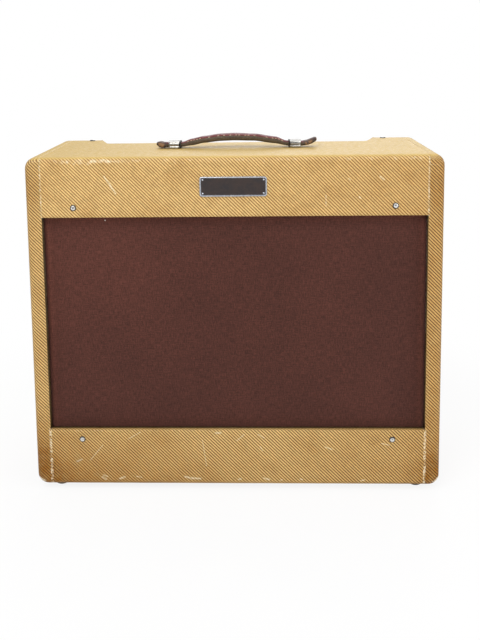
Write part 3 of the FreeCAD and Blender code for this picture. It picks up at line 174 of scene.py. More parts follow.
class Nodes:
    """Short ways to add nodes to a tree and join them."""

    def __init__(self, tree):
        self.nodes, self.links = tree.nodes, tree.links

    def feed(self, socket, value):
        """Joins a socket to another, or sets its number, vector or colour."""
        value = getattr(value, "socket", value)
        if isinstance(value, bpy.types.NodeSocket):
            self.links.new(value, socket)
        elif socket.type == "RGBA" and len(value) == 3:
            socket.default_value = (*value, 1)
        else:
            socket.default_value = value

    def add(self, kind, *values, inputs=None, **settings):
        """A new node, its first inputs fed in order and others by name."""
        node = self.nodes.new(kind)
        for name, setting in settings.items():
            setattr(node, name, setting)
        for key, value in [*enumerate(values), *(inputs or {}).items()]:
            self.feed(node.inputs[key], value)
        return node

    def out(self, kind, *values, key=0, **settings):
        return Signal(self, self.add(kind, *values, **settings).outputs[key])

    def math(self, operation, *values, clamp=False):
        return self.out("ShaderNodeMath", *values, operation=operation, use_clamp=clamp)

    def vector(self, operation, *values, inputs=None):
        scalar = operation in ("LENGTH", "DOT_PRODUCT", "DISTANCE")
        return self.out("ShaderNodeVectorMath", *values, operation=operation, inputs=inputs,
                        key="Value" if scalar else "Vector")

    def scaled(self, vector, factor):
        return self.vector("SCALE", vector, inputs={"Scale": factor})

    def place(self, uv=None):
        """The surface's own coordinates in millimetres: its cloth map, or the part's frame."""
        if uv:
            return self.scaled(self.out("ShaderNodeUVMap", uv_map=uv), 1 / MM)
        return self.scaled(self.out("ShaderNodeTexCoord", key="Object"), 1 / MM)

    def split(self, vector):
        return [Signal(self, part) for part in self.add("ShaderNodeSeparateXYZ", vector).outputs]

    def merge(self, x=0.0, y=0.0, z=0.0):
        return self.out("ShaderNodeCombineXYZ", x, y, z)

    def noise(self, vector, scale, detail=2.0, roughness=0.5, distortion=0.0):
        return self.out("ShaderNodeTexNoise", inputs={
            "Vector": vector, "Scale": scale, "Detail": detail, "Roughness": roughness,
            "Distortion": distortion})

    def stretched(self, vector, x, y, z, scale=1.0, **kinds):
        """Noise on coordinates multiplied along each axis."""
        return self.noise(self.vector("MULTIPLY", vector, (x, y, z)), scale, **kinds)

    def cell(self, vector):
        """A number from 0 to 1 for each whole-number cell."""
        return self.out("ShaderNodeTexWhiteNoise", self.vector("FLOOR", vector))

    def ease(self, value, low, high, out_low=0.0, out_high=1.0):
        """Runs smoothly from one number to another as the value crosses a range."""
        return self.out("ShaderNodeMapRange", value, low, high, out_low, out_high,
                        interpolation_type="SMOOTHSTEP")

    def mix(self, factor, first, second, blend="MIX"):
        return self.out("ShaderNodeMix", data_type="RGBA", blend_type=blend, key=2,
                        inputs={0: factor, 6: first, 7: second})

    def tone(self, base, amount):
        """Multiplies a colour by a brightness that varies over the surface."""
        return self.mix(1.0, base, self.merge(amount, amount, amount), "MULTIPLY")

    def shade(self, base, pattern, first, last, low=0.3, high=0.7):
        """Brightens or darkens a colour as a pattern crosses a range."""
        return self.tone(base, self.ease(pattern, low, high, first, last))

    def stain(self, base, other, pattern, low, high, amount=1.0, blend="MIX"):
        """Lays another colour over a colour as a pattern crosses a range."""
        return self.mix(self.ease(pattern, low, high, 0.0, amount), base, other, blend)

    def attribute(self, name):
        return self.out("ShaderNodeAttribute", attribute_name=name, key="Fac")

    def bump(self, height, distance, strength=1.0, under=None):
        inputs = {"Strength": strength, "Distance": distance * MM, "Height": height}
        if under is not None:
            inputs["Normal"] = under
        return self.out("ShaderNodeBump", inputs=inputs)

    def direct_view(self):
        """1 for rays from the camera and through glass, 0 for light and reflections."""
        path = self.add("ShaderNodeLightPath").outputs
        return self.math("ADD", path["Is Camera Ray"], path["Is Transmission Ray"], clamp=True)

    def show(self, output, share, first, second):
        """Sends a blend of two shaders to the tree's output."""
        both = self.add("ShaderNodeMixShader", share, first.outputs[0], second.outputs[0])
        self.links.new(both.outputs[0], self.nodes[output].inputs["Surface"])


class Finish(Nodes):
    """A material with its main shader."""

    def __init__(self, name, roughness=0.5, metallic=0.0, **sockets):
        self.material = bpy.data.materials.new(name)
        self.material.use_nodes = True
        super().__init__(self.material.node_tree)
        self.shader = self.nodes["Principled BSDF"]
        sockets.update(Roughness=roughness, Metallic=metallic)
        for socket, number in sockets.items():
            self.shader.inputs[socket.replace("_", " ")].default_value = number

    def finish(self, base, normal=None, roughness=None):
        """Feeds the shader, and gives the material."""
        for socket, value in (("Base Color", base), ("Normal", normal), ("Roughness", roughness)):
            if value is not None:
                self.feed(self.shader.inputs[socket], value)
        return self.material


def weave_relief(make, u, v):
    """The height of threads that pass over and under each other."""
    return abs(make.math("SINE", u * pi)) * abs(make.math("SINE", v * pi))


def scuff_mask(make, where, scuffs):
    """How much each point of the cloth map is rubbed by short scuffs: (u, v, u, v, width)."""
    total = 0.0
    for x1, y1, x2, y2, width in scuffs:
        run = Vector((x2 - x1, y2 - y1, 0))
        offset = make.vector("SUBTRACT", where, (x1, y1, 0))
        along = make.math("DIVIDE", make.vector("DOT_PRODUCT", offset, tuple(run)),
                          run.length_squared, clamp=True)
        away = make.vector("DISTANCE", offset, make.scaled(tuple(run), along))
        total = make.math("MAXIMUM", total, make.ease(away, width, width * 0.2))
    return total


def shaded_turn(make, across, deep, high):
    """How dark the covering is where it turns into the grille opening."""
    inside = make.ease(abs(across), SEAM + 1.4, SEAM + 0.8) * make.ease(deep, FRONT + 14, FRONT + 12)
    for edge, way in ((LOWER_EDGE, 1), (UPPER_EDGE, -1)):
        inside = inside * make.ease(high, edge - way * 1.4, edge - way * 0.8)
    past = deep - FRONT - make.ease(high, LOWER_EDGE + 1.5, LOWER_EDGE + 0.5) * 4.0
    return make.ease(inside * past, 0.3, 2.5, 1.0, 0.28)


def woven_finish(name, cover, scuffs=(), shade=1.0, depth=1.0):
    """Lacquered diagonal cloth: stepped stripes of straw and brown thread, aged and rubbed."""
    make = Finish(name, roughness=0.5, Specular_IOR_Level=0.22)
    flat, here = make.place("cloth"), make.place()
    x, y, _ = make.split(flat)
    sway = (make.noise(flat, 0.05, detail=3) - 0.5) * 3.0
    u, v = (x + sway) / cover.thread, (y - sway) / cover.thread
    phase = make.math("FRACT", (make.math("FLOOR", u) + make.math("FLOOR", v)) / cover.repeat)
    smooth = make.math("FRACT", (u + v) / cover.repeat)
    ridge = abs(phase * 0.35 + smooth * 0.65 - 0.5)
    tint = (1.35 - 0.35 * depth, 1.0, 0.5 + 0.5 * depth)
    brown = [channel * depth * t for channel, t in zip(cover.dark, tint)]
    cloth = make.mix(make.ease(ridge, 0.12, 0.34), brown, cover.light)
    cloth = make.shade(cloth, make.cell(make.merge(u, v)), 0.86 * shade, 1.1 * shade, 0.0, 1.0)
    patches = make.noise(flat, 0.022, detail=4, roughness=0.6)
    cloth = make.stain(cloth, cover.amber, patches, 0.42, 0.75, 0.26, "MULTIPLY")
    blotch = make.noise(flat, 0.11, detail=3)
    cloth = make.shade(cloth, blotch, 0.94, 1.06)
    # darkening and old lacquer colour from the points' marks: dirt, with painted shade towards the bottom
    # and on the right
    grime_and_shade = make.attribute("grime_and_shade")
    dirt_and_shade = make.math("MULTIPLY", grime_and_shade, make.ease(blotch, 0.25, 0.65, 0.75, 1.15), clamp=True)
    cloth = make.mix(dirt_and_shade, cloth, cover.amber, "MULTIPLY")
    cloth = make.shade(cloth, grime_and_shade, 1.0, 0.86, 0.52, 0.8)
    grain = make.noise(flat, 0.9, detail=3, roughness=0.7)
    patchy = make.noise(flat, 0.16, detail=2)
    # rubbing, and painted highlight along the front edges, from the points' marks
    rubbed = make.ease(make.attribute("wear_and_highlight") + patchy * 0.55 + grain * 0.6, 1.0, 1.25)
    if scuffs:
        mark = scuff_mask(make, flat, scuffs) * make.ease(grain, 0.4, 0.58)
        rubbed = make.math("MAXIMUM", rubbed, mark)
    rubbed = rubbed * make.ease(ridge, 0.0, 0.3, 0.45, 1.0)
    across, deep, high = make.split(here)
    gap = abs(abs(across) - SEAM)
    beside = make.ease(high, LOWER_EDGE, LOWER_EDGE + 2) * make.ease(high, UPPER_EDGE, UPPER_EDGE - 2)
    seam = make.ease(gap - make.ease(high, 60.0, 400.0, 0.9, 0.0), 1.3, 0.3) * (1.0 - beside)
    seam = seam * make.ease(make.noise(here, 0.5, detail=3), 0.46, 0.6, 0.0, 0.75)
    # laid on in the bare thread colour: rubbing, seams and painted edge highlight
    cloth = make.mix(make.math("MAXIMUM", rubbed, seam), cloth, cover.worn)
    # painted light: the top laid over with a plain, lighter gold
    cloth = make.stain(cloth, linear(212, 182, 108), make.attribute("lid"), 0.0, 1.0, 0.66)
    cloth = make.tone(cloth, shaded_turn(make, across, deep, high))
    normal = make.bump(weave_relief(make, u, v) + ridge * 1.6, 0.16, 0.55)
    normal = make.bump(patches, 1.6, 0.25, normal)
    return make.finish(cloth, normal, make.ease(patchy, 0.3, 0.7, 0.36, 0.56))


LINEN_THREAD = 0.62  # width of one thread, in mm
LINT = (-174.6, 382.0, 0.0)  # a pale fleck caught in the linen


def linen_finish(cloths):
    """Plain-woven linen with slubs along both threads."""
    make = Finish("grille_linen", roughness=0.85, Specular_IOR_Level=0.2, Sheen_Weight=0.08)
    flat = make.place("cloth")
    x, z, _ = make.split(flat)
    u, v = x / LINEN_THREAD, z / LINEN_THREAD
    across = make.stretched(flat, 0.09, 0.9, 1.0, detail=4, roughness=0.7)
    down = make.stretched(flat, 0.9, 0.12, 1.0, detail=4, roughness=0.65)
    fine = make.stretched(flat, 0.5, 1.7, 1.0, detail=3, roughness=0.7)
    slub = across * 0.5 + down * 0.55 + fine * 0.55
    level = make.ease(slub, 0.66, 0.96) + make.cell(make.merge(u, v)) * 0.3
    level = make.math("MULTIPLY", level, 0.78, clamp=True)
    base = make.mix(level, cloths.linen_dark, cloths.linen_light)
    base = make.shade(base, make.noise(flat, 0.012, detail=3), 0.93, 1.07)
    base = make.stain(base, linear(150, 120, 108), make.noise(flat, 0.75, detail=1), 0.79, 0.84, 0.3)
    # painted light: lighter towards the upper left corner
    distance_from_lit_corner = make.vector("DISTANCE", flat, (-SEAM, UPPER_EDGE, 0))
    base = make.shade(base, distance_from_lit_corner, 1.28, 1.0, 60.0, 260.0)
    # painted light: lighter within 13 mm of the opening's sides and top, against the shade there
    rim = make.math("MINIMUM", SEAM - abs(x), UPPER_EDGE - z)
    base = make.shade(base, rim, 1.75, 1.0, 0.0, 13.0)
    base = make.stain(base, linear(225, 214, 205), make.vector("DISTANCE", flat, LINT), 1.2, 0.4)
    return make.finish(base, make.bump(weave_relief(make, u, v) + slub * 1.5, 0.14, 0.6))


def metal_finish(name, base, tarnish, roughness, amount, scale=(1, 1, 1), shaded_grooves=()):
    """Plated or bare metal: fine rubbing marks, cloudy wear, tarnish, dirt at groove heights."""
    make = Finish(name, roughness=roughness, metallic=1.0)
    here = make.place()
    cloud = make.noise(here, 0.16, detail=4, roughness=0.6)
    lines = make.stretched(here, *scale, scale=2.2, detail=3, roughness=0.7)
    shown = make.shade(linear(*base), lines, 0.94, 1.04)
    spots = make.noise(here, 0.7, detail=4, roughness=0.65)
    mask = make.ease(spots, 0.5, 0.72) * make.ease(cloud, 0.35, 0.7, 0.2, amount * 2)
    shown = make.mix(mask, shown, linear(*tarnish))
    high = make.split(here)[2]
    if shaded_grooves:
        # darker on the crown of the caps
        shown = make.shade(shown, high, 1.0, 0.55, CROWN + 9.2, CROWN + 10.2)
    # painted shade: dark lines in the creases at each given height
    for level, reach in shaded_grooves:
        shown = make.shade(shown, abs(high - (CROWN + level)), 0.28, 1.0, reach * 0.3, reach)
    gloss = make.ease(cloud, 0.3, 0.75, roughness * 0.8, roughness * 1.25)
    gloss = gloss + make.ease(lines, 0.3, 0.8, 0.0, 0.06)
    return make.finish(shown, make.bump(lines, 0.03, 0.3), gloss)


def painted_finish(name, base, edge, roughness, lumps, depth):
    """Sprayed or hammered paint with small chips and dust."""
    make = Finish(name, roughness=roughness)
    here = make.place()
    dust = make.noise(here, 0.05, detail=5, roughness=0.6)
    orange = make.noise(here, lumps, detail=2)
    chips = make.noise(here, 0.35, detail=4, roughness=0.7)
    shown = make.shade(linear(*base), orange, 0.9, 1.1)
    shown = make.stain(shown, linear(*edge), dust, 0.5, 0.8, 0.3)
    shown = make.stain(shown, linear(*edge), chips, 0.7, 0.76, 0.5)
    gloss = make.ease(dust, 0.3, 0.7, roughness * 0.85, roughness * 1.2)
    return make.finish(shown, make.bump(orange, depth, 0.5), gloss)


def wood_finish(name, along, pale, dark):
    """Sawn softwood: long grain along one axis, growth rings across it, and stains."""
    rough = 0.7
    make = Finish(name, roughness=rough)
    here = make.place()
    squash = [1.0, 1.0, 1.0]
    squash[along] = 0.045
    laid = make.vector("MULTIPLY", here, tuple(squash))
    shifted = make.vector("DOT_PRODUCT", laid, (0.31, 0.83, 0.57))
    shifted = shifted + make.noise(laid, 0.05, detail=2) * 34.0
    late = make.math("POWER", make.math("FRACT", shifted * 0.13), 2.2)
    fibre = make.noise(laid, 1.7, detail=4, roughness=0.7)
    shown = make.mix(late * 0.6, linear(*pale), linear(*dark))
    shown = make.shade(shown, fibre, 0.84, 1.1)
    cloud = make.noise(here, 0.014, detail=3)
    shown = make.stain(shown, linear(*dark), cloud, 0.45, 0.75, 0.3, "MULTIPLY")
    gloss = make.ease(fibre, 0.3, 0.7, rough * 0.85, rough * 1.1)
    return make.finish(shown, make.bump(fibre + late * 0.4, 0.22, 0.5), gloss)


def ply_finish(name, pale, dark):
    """Baffle board: birch plywood with a thin dark wash, plies shown on its edges."""
    make = Finish(name, roughness=0.75)
    here = make.place()
    grain = make.stretched(here, 0.03, 1.0, 0.5, detail=5, roughness=0.7)
    plies = make.math("SINE", make.split(here)[1] * 2.1)
    shown = make.stain(linear(*pale), linear(*dark), grain, 0.35, 0.7)
    shown = make.shade(shown, plies, 0.86, 1.04, -1.0, 1.0)
    return make.finish(shown, make.bump(grain, 0.2, 0.4))


def paper_finish(name, base, fleck, roughness, ribs=0.0):
    """Pressed paper or felt with fibres; ribs gives the pitch of moulded rings."""
    make = Finish(name, roughness=roughness, Specular_IOR_Level=0.2)
    here = make.place()
    relief = make.noise(here, 1.3, detail=5, roughness=0.75, distortion=0.6)
    shown = make.stain(linear(*base), linear(*fleck), relief, 0.45, 0.75)
    shown = make.shade(shown, make.noise(here, 0.04, detail=3), 0.9, 1.1)
    if ribs:
        relief = relief + make.math("SINE", make.split(here)[1] * (2 * pi / ribs)) * 0.8
    return make.finish(shown, make.bump(relief, 0.18, 0.5))


def moulded_finish(name, base, swirl, roughness):
    """Moulded phenolic, hard rubber or plastic with a faint swirl and rubbed patches."""
    make = Finish(name, roughness=roughness, Coat_Weight=0.2, Coat_Roughness=0.25)
    here = make.place()
    flow = make.noise(here, 0.09, detail=4, roughness=0.6, distortion=1.2)
    specks = make.noise(here, 1.6, detail=2)
    shown = make.stain(linear(*base), linear(*swirl), flow, 0.45, 0.7, 0.6)
    shown = make.shade(shown, specks, 0.94, 1.06, 0.35)
    gloss = make.ease(flow, 0.3, 0.7, roughness * 0.8, roughness * 1.4)
    return make.finish(shown, make.bump(specks, 0.04, 0.3), gloss)


def glass_finish(name, tint, roughness=0.04):
    """Clear or coloured glass with a light haze of dust."""
    make = Finish(name, roughness=roughness, Transmission_Weight=1.0, IOR=1.48)
    haze = make.noise(make.place(), 0.12, detail=4, roughness=0.6)
    gloss = make.ease(haze, 0.4, 0.75, roughness, roughness + 0.16)
    return make.finish(make.shade(tint, haze, 0.9, 1.0), make.bump(haze, 0.05, 0.2), gloss)


# meshes
def put(name, data):
    """A new object in the scene."""
    thing = bpy.data.objects.new(name, data)
    bpy.context.scene.collection.objects.link(thing)
    return thing


def object_from(work, name, *materials):
    """An object from a bmesh in millimetres."""
    mesh = bpy.data.meshes.new(name)
    work.to_mesh(mesh)
    work.free()
    mesh.transform(Matrix.Scale(MM, 4))
    for material in materials:
        mesh.materials.append(material)
    return put(name, mesh)


def piece_from(work, name, *materials, slot, rides="cabinet", replaces=(), smooth=True):
    """An object that rides a body, takes a finish slot and may stand in for CAD nodes."""
    piece = object_from(work, name, *materials)
    if smooth:
        piece.data.polygons.foreach_set("use_smooth", [True] * len(piece.data.polygons))
    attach(piece, rides)
    if replaces:
        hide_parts(*replaces)
    return piece


def solid_from(work, *settings, weld=0.0, **more):
    """A piece from closed shapes, with their faces turned outward."""
    if weld:
        bmesh.ops.remove_doubles(work, verts=work.verts, dist=weld)
    bmesh.ops.recalc_face_normals(work, faces=work.faces)
    return piece_from(work, *settings, **more)


def circle(count):
    """Angles round a full turn."""
    return [2 * pi * k / count for k in range(count)]


def arc(*degrees):
    """Angles given in degrees, in radians."""
    return [radians(d) for d in degrees]


def add_grid(work, rows, marks=None, closed=False):
    """Faces between rows of points; marks holds each point's place on the flat cloth, in mm."""
    layer = work.loops.layers.uv.get("cloth") or work.loops.layers.uv.new("cloth")
    spots = [[work.verts.new(point) for point in row] for row in rows]
    count = len(rows[0])
    for r in range(len(rows) - 1):
        for c in range(count if closed else count - 1):
            d = (c + 1) % count
            corners = [(r, c), (r, d), (r + 1, d), (r + 1, c)]
            face = work.faces.new([spots[i][j] for i, j in corners])
            if marks:
                for loop, (i, j) in zip(face.loops, corners):
                    loop[layer].uv = (marks[i][j][0] * MM, marks[i][j][1] * MM)
    return spots


def face_outward(work, centre):
    """Turns the faces of a sheet so that they look away from a point."""
    bmesh.ops.remove_doubles(work, verts=work.verts, dist=0.01)
    bmesh.ops.dissolve_degenerate(work, edges=work.edges, dist=0.001)
    bmesh.ops.recalc_face_normals(work, faces=work.faces)
    lean = sum((face.calc_center_median() - Vector(centre)).dot(face.normal) * face.calc_area()
               for face in work.faces)
    if lean < 0:
        bmesh.ops.reverse_faces(work, faces=work.faces)


def thicken(piece, thickness):
    """Gives a sheet its thickness, inward from its face."""
    solid = piece.modifiers.new("cloth thickness", "SOLIDIFY")
    solid.thickness = thickness * MM
    solid.offset = -1
    solid.use_even_offset = True


def ease_edges(piece, width):
    """Rounds the edges of a piece."""
    bevel = piece.modifiers.new("eased edges", "BEVEL")
    bevel.width = width * MM
    bevel.segments = 2


def paint_points(piece, name, rule):
    """A number on each point of a piece, from a rule of its place in millimetres."""
    layer = piece.data.attributes.new(name, "FLOAT", "POINT")
    layer.data.foreach_set("value", [rule(v.co / MM) for v in piece.data.vertices])


FACINGS = {"Z": lambda x, y, z: (x, y, z), "Y": lambda x, y, z: (x, z, -y),
           "-Y": lambda x, y, z: (x, -z, y)}


def lathe(work, profile, centre, facing="Z", segments=40):
    """A turned solid; profile points are (radius, height along the axis)."""
    rows = [[Vector(centre) + Vector(FACINGS[facing](radius * cos(a), radius * sin(a), rise))
             for a in circle(segments)] for radius, rise in profile]
    add_grid(work, rows, closed=True)
    bmesh.ops.remove_doubles(work, verts=work.verts, dist=0.002)


def evenly(low, high, count):
    """Numbers at equal steps from low to high."""
    return [low + (high - low) * k / (count - 1) for k in range(count)]


def smooth_through(points, at):
    """A smooth value at a place, through a list of (place, value)."""
    if at <= points[0][0]:
        return points[0][1]
    for (a, va), (b, vb) in zip(points, points[1:]):
        if at <= b:
            t = (at - a) / (b - a)
            t = t * t * (3 - 2 * t) * 0.5 + t * 0.5
            return va + (vb - va) * t
    return points[-1][1]


def near(value, target, reach):
    """1 at the target, falling to 0 over the reach."""
    return exp(-((value - target) / reach) ** 2)


# woven covering
def cloth_wear(p):
    """Where the covering is rubbed: front edges, hems and lower corners."""
    # rubbing with a painted highlight along the top front edge, stronger on the left
    left = 1.0 + 0.22 * near(p.x, -190, 50)
    top_edge = near(p.z, CROWN - 6, 9) * near(p.y, FRONT + 1, 6) * 0.42 * left
    low_edge = near(p.z, BASE + 6, 5) * near(p.y, FRONT + 1, 5) * 0.36
    # painted highlight down the front edges of the sides
    side_edge = near(abs(p.x), HALF - 1, 3) * near(p.y, FRONT + 2, 4) * 0.16
    hem = near(p.z, LOWER_EDGE - 3, 1.5) * near(p.y, FRONT, 3) * 0.6
    corner = near(abs(p.x), HALF - 4, 8) * near(p.z, BASE + 6, 10) * 0.34
    return min(1.0, top_edge + low_edge + side_edge + hem + corner)


def cloth_grime(p):
    """Where old lacquer and dirt have darkened the covering."""
    low = max(0.0, 1 - (p.z - BASE) / 120)
    # darker towards the bottom, more on the left: dirt, with painted shade falling off towards the bottom
    lower = (0.13 + 0.62 * min(1.0, max(0.0, (60 - p.x) / 340))) * low
    corner = 0.36 * near(abs(p.x), HALF - 8, 26) * near(p.z, BASE + 16, 34)
    upper = 0.17 * near(abs(p.x), HALF - 6, 12) * near(p.z, CROWN - 46, 34)
    # the side pieces darker
    flank = 0.18 if abs(p.x) > SEAM and p.z < CROWN - 5 else 0.0
    # painted shade: the right side darker, away from the light
    right = 0.24 * max(0.0, p.x / HALF) if p.z < CROWN - 5 else 0.0
    return min(0.8, lower + corner + upper + flank + right)


def cloth_lid(p):
    """The top of the box, where the lacquer is smooth and the weave hardly shows."""
    return min(1.0, max(0.0, (p.z - CROWN + 3.5) / 3))


def flank_rows(cover):
    """The left side's covering as patches of rows of (point, mark), the mark in mm."""
    corner, edge = cover.corner_round, cover.edge_round
    wide = HALF - SEAM
    quarter = arc(22.5, 45, 67.5, 90)
    run_side = wide - edge + edge * pi / 2
    hub_x = HALF - corner
    hubs = {"high": CROWN - corner, "low": BASE + corner}

    def across(z):
        """Stations from front seam to rear seam: inset, depth, run, share of side map."""
        back = rear_at(z)
        stops = [(d, FRONT, wide - d, 0.0) for d in (wide, wide - 3, corner, 11, edge)]
        stops += [(edge - edge * sin(a), FRONT + edge - edge * cos(a),
                   wide - edge + edge * a, a / (pi / 2)) for a in quarter]
        start, end = FRONT + edge, back - edge
        stops += [(0.0, y, run_side + y - start, 1.0) for y in evenly(start, end, 12)[1:-1]]
        far = run_side + end - start
        stops += [(edge - edge * cos(a), end + edge * sin(a), far + edge * a, 1.0)
                  for a in [0.0] + quarter]
        far += edge * pi / 2
        return stops + [(d, back, far + d - edge, 1.0) for d in (11, corner, wide - 3, wide)]

    def row(kind, at, level=""):
        """One row of points across, at a place round the side's section."""
        points = []
        up = 1 if level == "high" else -1
        height = at if kind == "side" else CROWN if up > 0 else BASE
        for inset, y, run, share in across(height):
            if kind == "side":
                x, z, loop = HALF - inset, at, at
            else:
                reach = corner - min(inset, corner)
                hub = hubs[level]
                x, z = at, hub + up * reach
                loop = hub + up * (corner * pi / 2 + hub_x - at)
                if kind == "turn":
                    x, z = hub_x + reach * cos(at), hub + up * reach * sin(at)
                    loop = hub + up * corner * at
            flat = x - SEAM
            points.append(((x, y, z), (x + (run - flat) * share, z + (loop - z) * share)))
        return points

    patches = [[row("side", z) for z in evenly(hubs["low"], hubs["high"], 44)]]
    for level in hubs:
        patches.append([row("turn", a, level) for a in arc(*evenly(0, 90, 9))])
        patches.append([row("flat", x, level) for x in (hub_x, SEAM + 3, SEAM)])
    stops = [(SEAM + 1.2, FRONT), (SEAM + 0.35, FRONT + 0.3), (SEAM, FRONT + 1.2), (SEAM, FRONT + 5),
             (SEAM, GRILLE_FRONT - 0.4)]
    patches.append([[((x, y, z), (SEAM - (y - FRONT), z)) for x, y in stops]
                    for z in evenly(LOWER_EDGE, UPPER_EDGE, 24)])
    return patches


def build_cover(part, patches, centre, material):
    """A glued covering from patches of rows of (point, mark), seen from outside a centre."""
    work = bmesh.new()
    for patch in patches:
        add_grid(work, [[p for p, _ in row] for row in patch], [[m for _, m in row] for row in patch])
    face_outward(work, centre)
    ripple(work)
    piece = piece_from(work, "tweed_cover_" + part, material, slot="tweed", replaces=["tweed_" + part])
    for name, rule in (("wear_and_highlight", cloth_wear), ("grime_and_shade", cloth_grime), ("lid", cloth_lid)):
        paint_points(piece, name, rule)
    thicken(piece, 0.85)


def ripple(work, size=0.16):
    """Slight unevenness of glued cloth."""
    work.normal_update()
    for vert in work.verts:
        if vert.is_boundary:
            continue
        lift = noise.noise(vert.co * 0.035) + 0.5 * noise.noise(vert.co * 0.11)
        vert.co += vert.normal * max(0.0, lift) * size


def recess_edge(x, cover):
    """Depth at which the top covering ends: the recess's outline, or the rear edge."""
    x = abs(x)
    front, back = RECESS_FRONT, rear_at(CROWN)
    a, b, r = cover.recess_half, cover.recess_rear, cover.recess_round
    rise = (back - front) / (b - a)
    turn = pi - atan(rise)
    tangent = r / tan(turn / 2)
    start = a - tangent
    end = a + tangent * cos(atan(rise))
    if x <= start:
        return front
    if x <= end:
        return front + r - sqrt(max(0.0, r * r - (x - start) ** 2))
    return min(back, front + (x - a) * rise)


def top_rows(cover):
    """The top's covering, from the baffle round the front edge to the recess or the rear."""
    edge, wide, half = cover.edge_round, cover.recess_rear, cover.recess_half
    xs = [-SEAM, -SEAM + 1.2, -SEAM + 3, -250, -240, -228, -219, -wide - 0.2]
    xs += evenly(-wide, -half - 2, 12) + evenly(-half, -187, 8) + evenly(-178, 0, 20)
    xs += [-x for x in reversed(xs[:-1])]
    path = [(y, UPPER_EDGE, UPPER_EDGE - (y - FRONT))
            for y in (GRILLE_FRONT - 0.4, FRONT + 6, FRONT + 1.2)]
    path += [(FRONT + 0.3, UPPER_EDGE + 0.3, UPPER_EDGE)]
    path += [(FRONT, z, z) for z in evenly(UPPER_EDGE + 1.2, CROWN - edge, 12)]
    path += [(FRONT + edge - edge * cos(a), CROWN - edge + edge * sin(a),
              CROWN - edge + edge * a) for a in arc(18, 36, 54, 72, 90)]
    start = FRONT + edge
    turn = CROWN - edge + edge * pi / 2
    low = INNER_CROWN + 0.2
    rows = [[((x, y, z), (x, run)) for x in xs] for y, z, run in path]
    ends = []
    for x in xs:
        behind = abs(x) > wide
        end, r = recess_edge(x, cover), edge if behind else 1.0
        drop = CROWN - r - low
        column = [(start + (end - r - start) * f, CROWN, turn + (end - r - start) * f)
                  for f in evenly(0, 1, 26)[1:]]
        column += [(end - r + r * sin(a), CROWN - r + r * cos(a),
                    turn + end - r - start + r * a) for a in arc(22.5, 45, 67.5, 90)]
        column += [(end + (SLOPE * drop * f if behind else 0.0), CROWN - r - drop * f,
                    turn + end - start + drop * f) for f in (0.4, 1.0)]
        ends.append([((x, y, z), (x, run)) for y, z, run in column])
    return rows + list(zip(*ends))


def bottom_rows(cover):
    """The bottom's covering, from the baffle round both edges to the inner face."""
    edge = cover.edge_round
    xs = [-SEAM, -SEAM + 1.2, -SEAM + 3] + evenly(-250, 250, 42) + [SEAM - 3, SEAM - 1.2, SEAM]
    path = [(GRILLE_FRONT - 0.4, LOWER_EDGE), (FRONT + 6, LOWER_EDGE), (FRONT + 1.2, LOWER_EDGE),
            (FRONT + 0.3, LOWER_EDGE - 0.3)]
    path += [(FRONT, z) for z in evenly(LOWER_EDGE - 1.2, BASE + edge, 10)]
    path += [(FRONT + edge - edge * cos(a), BASE + edge - edge * sin(a))
             for a in arc(18, 36, 54, 72, 90)]
    path += [(y, BASE) for y in evenly(FRONT + edge, REAR - edge, 14)[1:]]
    path += [(REAR - edge + edge * sin(a), BASE + edge - edge * cos(a))
             for a in arc(22.5, 45, 67.5, 90)]
    path += [(rear_at(INNER_BASE - 0.2), INNER_BASE - 0.2)]
    run, rows = LOWER_EDGE + 12, []
    for last, (y, z) in zip(path[:1] + path, path):
        run -= dist(last, (y, z))
        rows.append([((x, y, z), (x, run)) for x in xs])
    return rows


UPPER_SCUFFS = [(-172, 444, -157, 421, 1.5), (-165, 434, -162, 428, 2.1), (194, 441, 199, 437, 1.6),
                (123, 417, 123, 402, 0.7), (167, 414, 169, 412, 1.2), (153, 439, 155, 437, 0.9),
                (36, 421, 41, 417, 1.0)]
LOWER_SCUFFS = [(-186, 68, -204, 46, 0.7), (-223, 44, -216, 47, 1.6), (-47, 75, -42, 38, 0.7),
                (-28, 86, -22, 86, 1.8), (-150, 77, -133, 87, 0.7), (1, 75, 11, 84, 0.9),
                (30, 84, 38, 79, 0.9), (33, 66, 36, 60, 1.0), (122, 66, 133, 62, 1.1),
                (200, 71, 210, 69, 1.0), (-188, 21, -183, 18, 2.0), (-186, 24, -181, 22, 1.4),
                (-163, 19, -157, 21, 2.1), (-140, 22, -133, 21, 1.0), (-72, 22, -62, 19, 2.0),
                (-62, 20, -51, 19, 2.1), (2, 18, 6, 19, 1.6), (38, 20, 45, 18, 1.8),
                (60, 17, 63, 18, 1.0), (88, 19, 91, 18, 1.3), (172, 17, 177, 18, 1.4)]


def build_covering():
    cover = bpy.context.scene.amp_cover
    upper = woven_finish("tweed_upper", cover, UPPER_SCUFFS, 1.0, 1.0)
    build_cover("top", [top_rows(cover)], (0, 40, UPPER_EDGE + 12), upper)
    lower = woven_finish("tweed_lower", cover, LOWER_SCUFFS, 1.08, 0.42)
    build_cover("bottom", [bottom_rows(cover)], (0, 0, LOWER_EDGE - 12), lower)
    flank = woven_finish("tweed_side", cover, shade=1.07, depth=0.48)
    for side, sign in (("left", -1), ("right", 1)):
        patches = [[[((sign * x, y, z), (sign * u, v)) for (x, y, z), (u, v) in row] for row in patch]
                   for patch in flank_rows(cover)]
        build_cover(side, patches, (0, 0, (BASE + CROWN) / 2), flank)


def add_fibre(work, root, heading, size, thickness):
    """One tapered fibre from a root point."""
    heading = heading.normalized()
    side = heading.orthogonal().normalized()
    other = heading.cross(side)
    tip = work.verts.new(root + heading * size)
    ring = [work.verts.new(root + (side * cos(a) + other * sin(a)) * thickness)
            for a in circle(3)]
    for k in range(3):
        work.faces.new([ring[k], ring[(k + 1) % 3], tip])
    work.faces.new(list(reversed(ring)))


FRAY_STEP = 0.9  # mean distance between thread ends, in mm


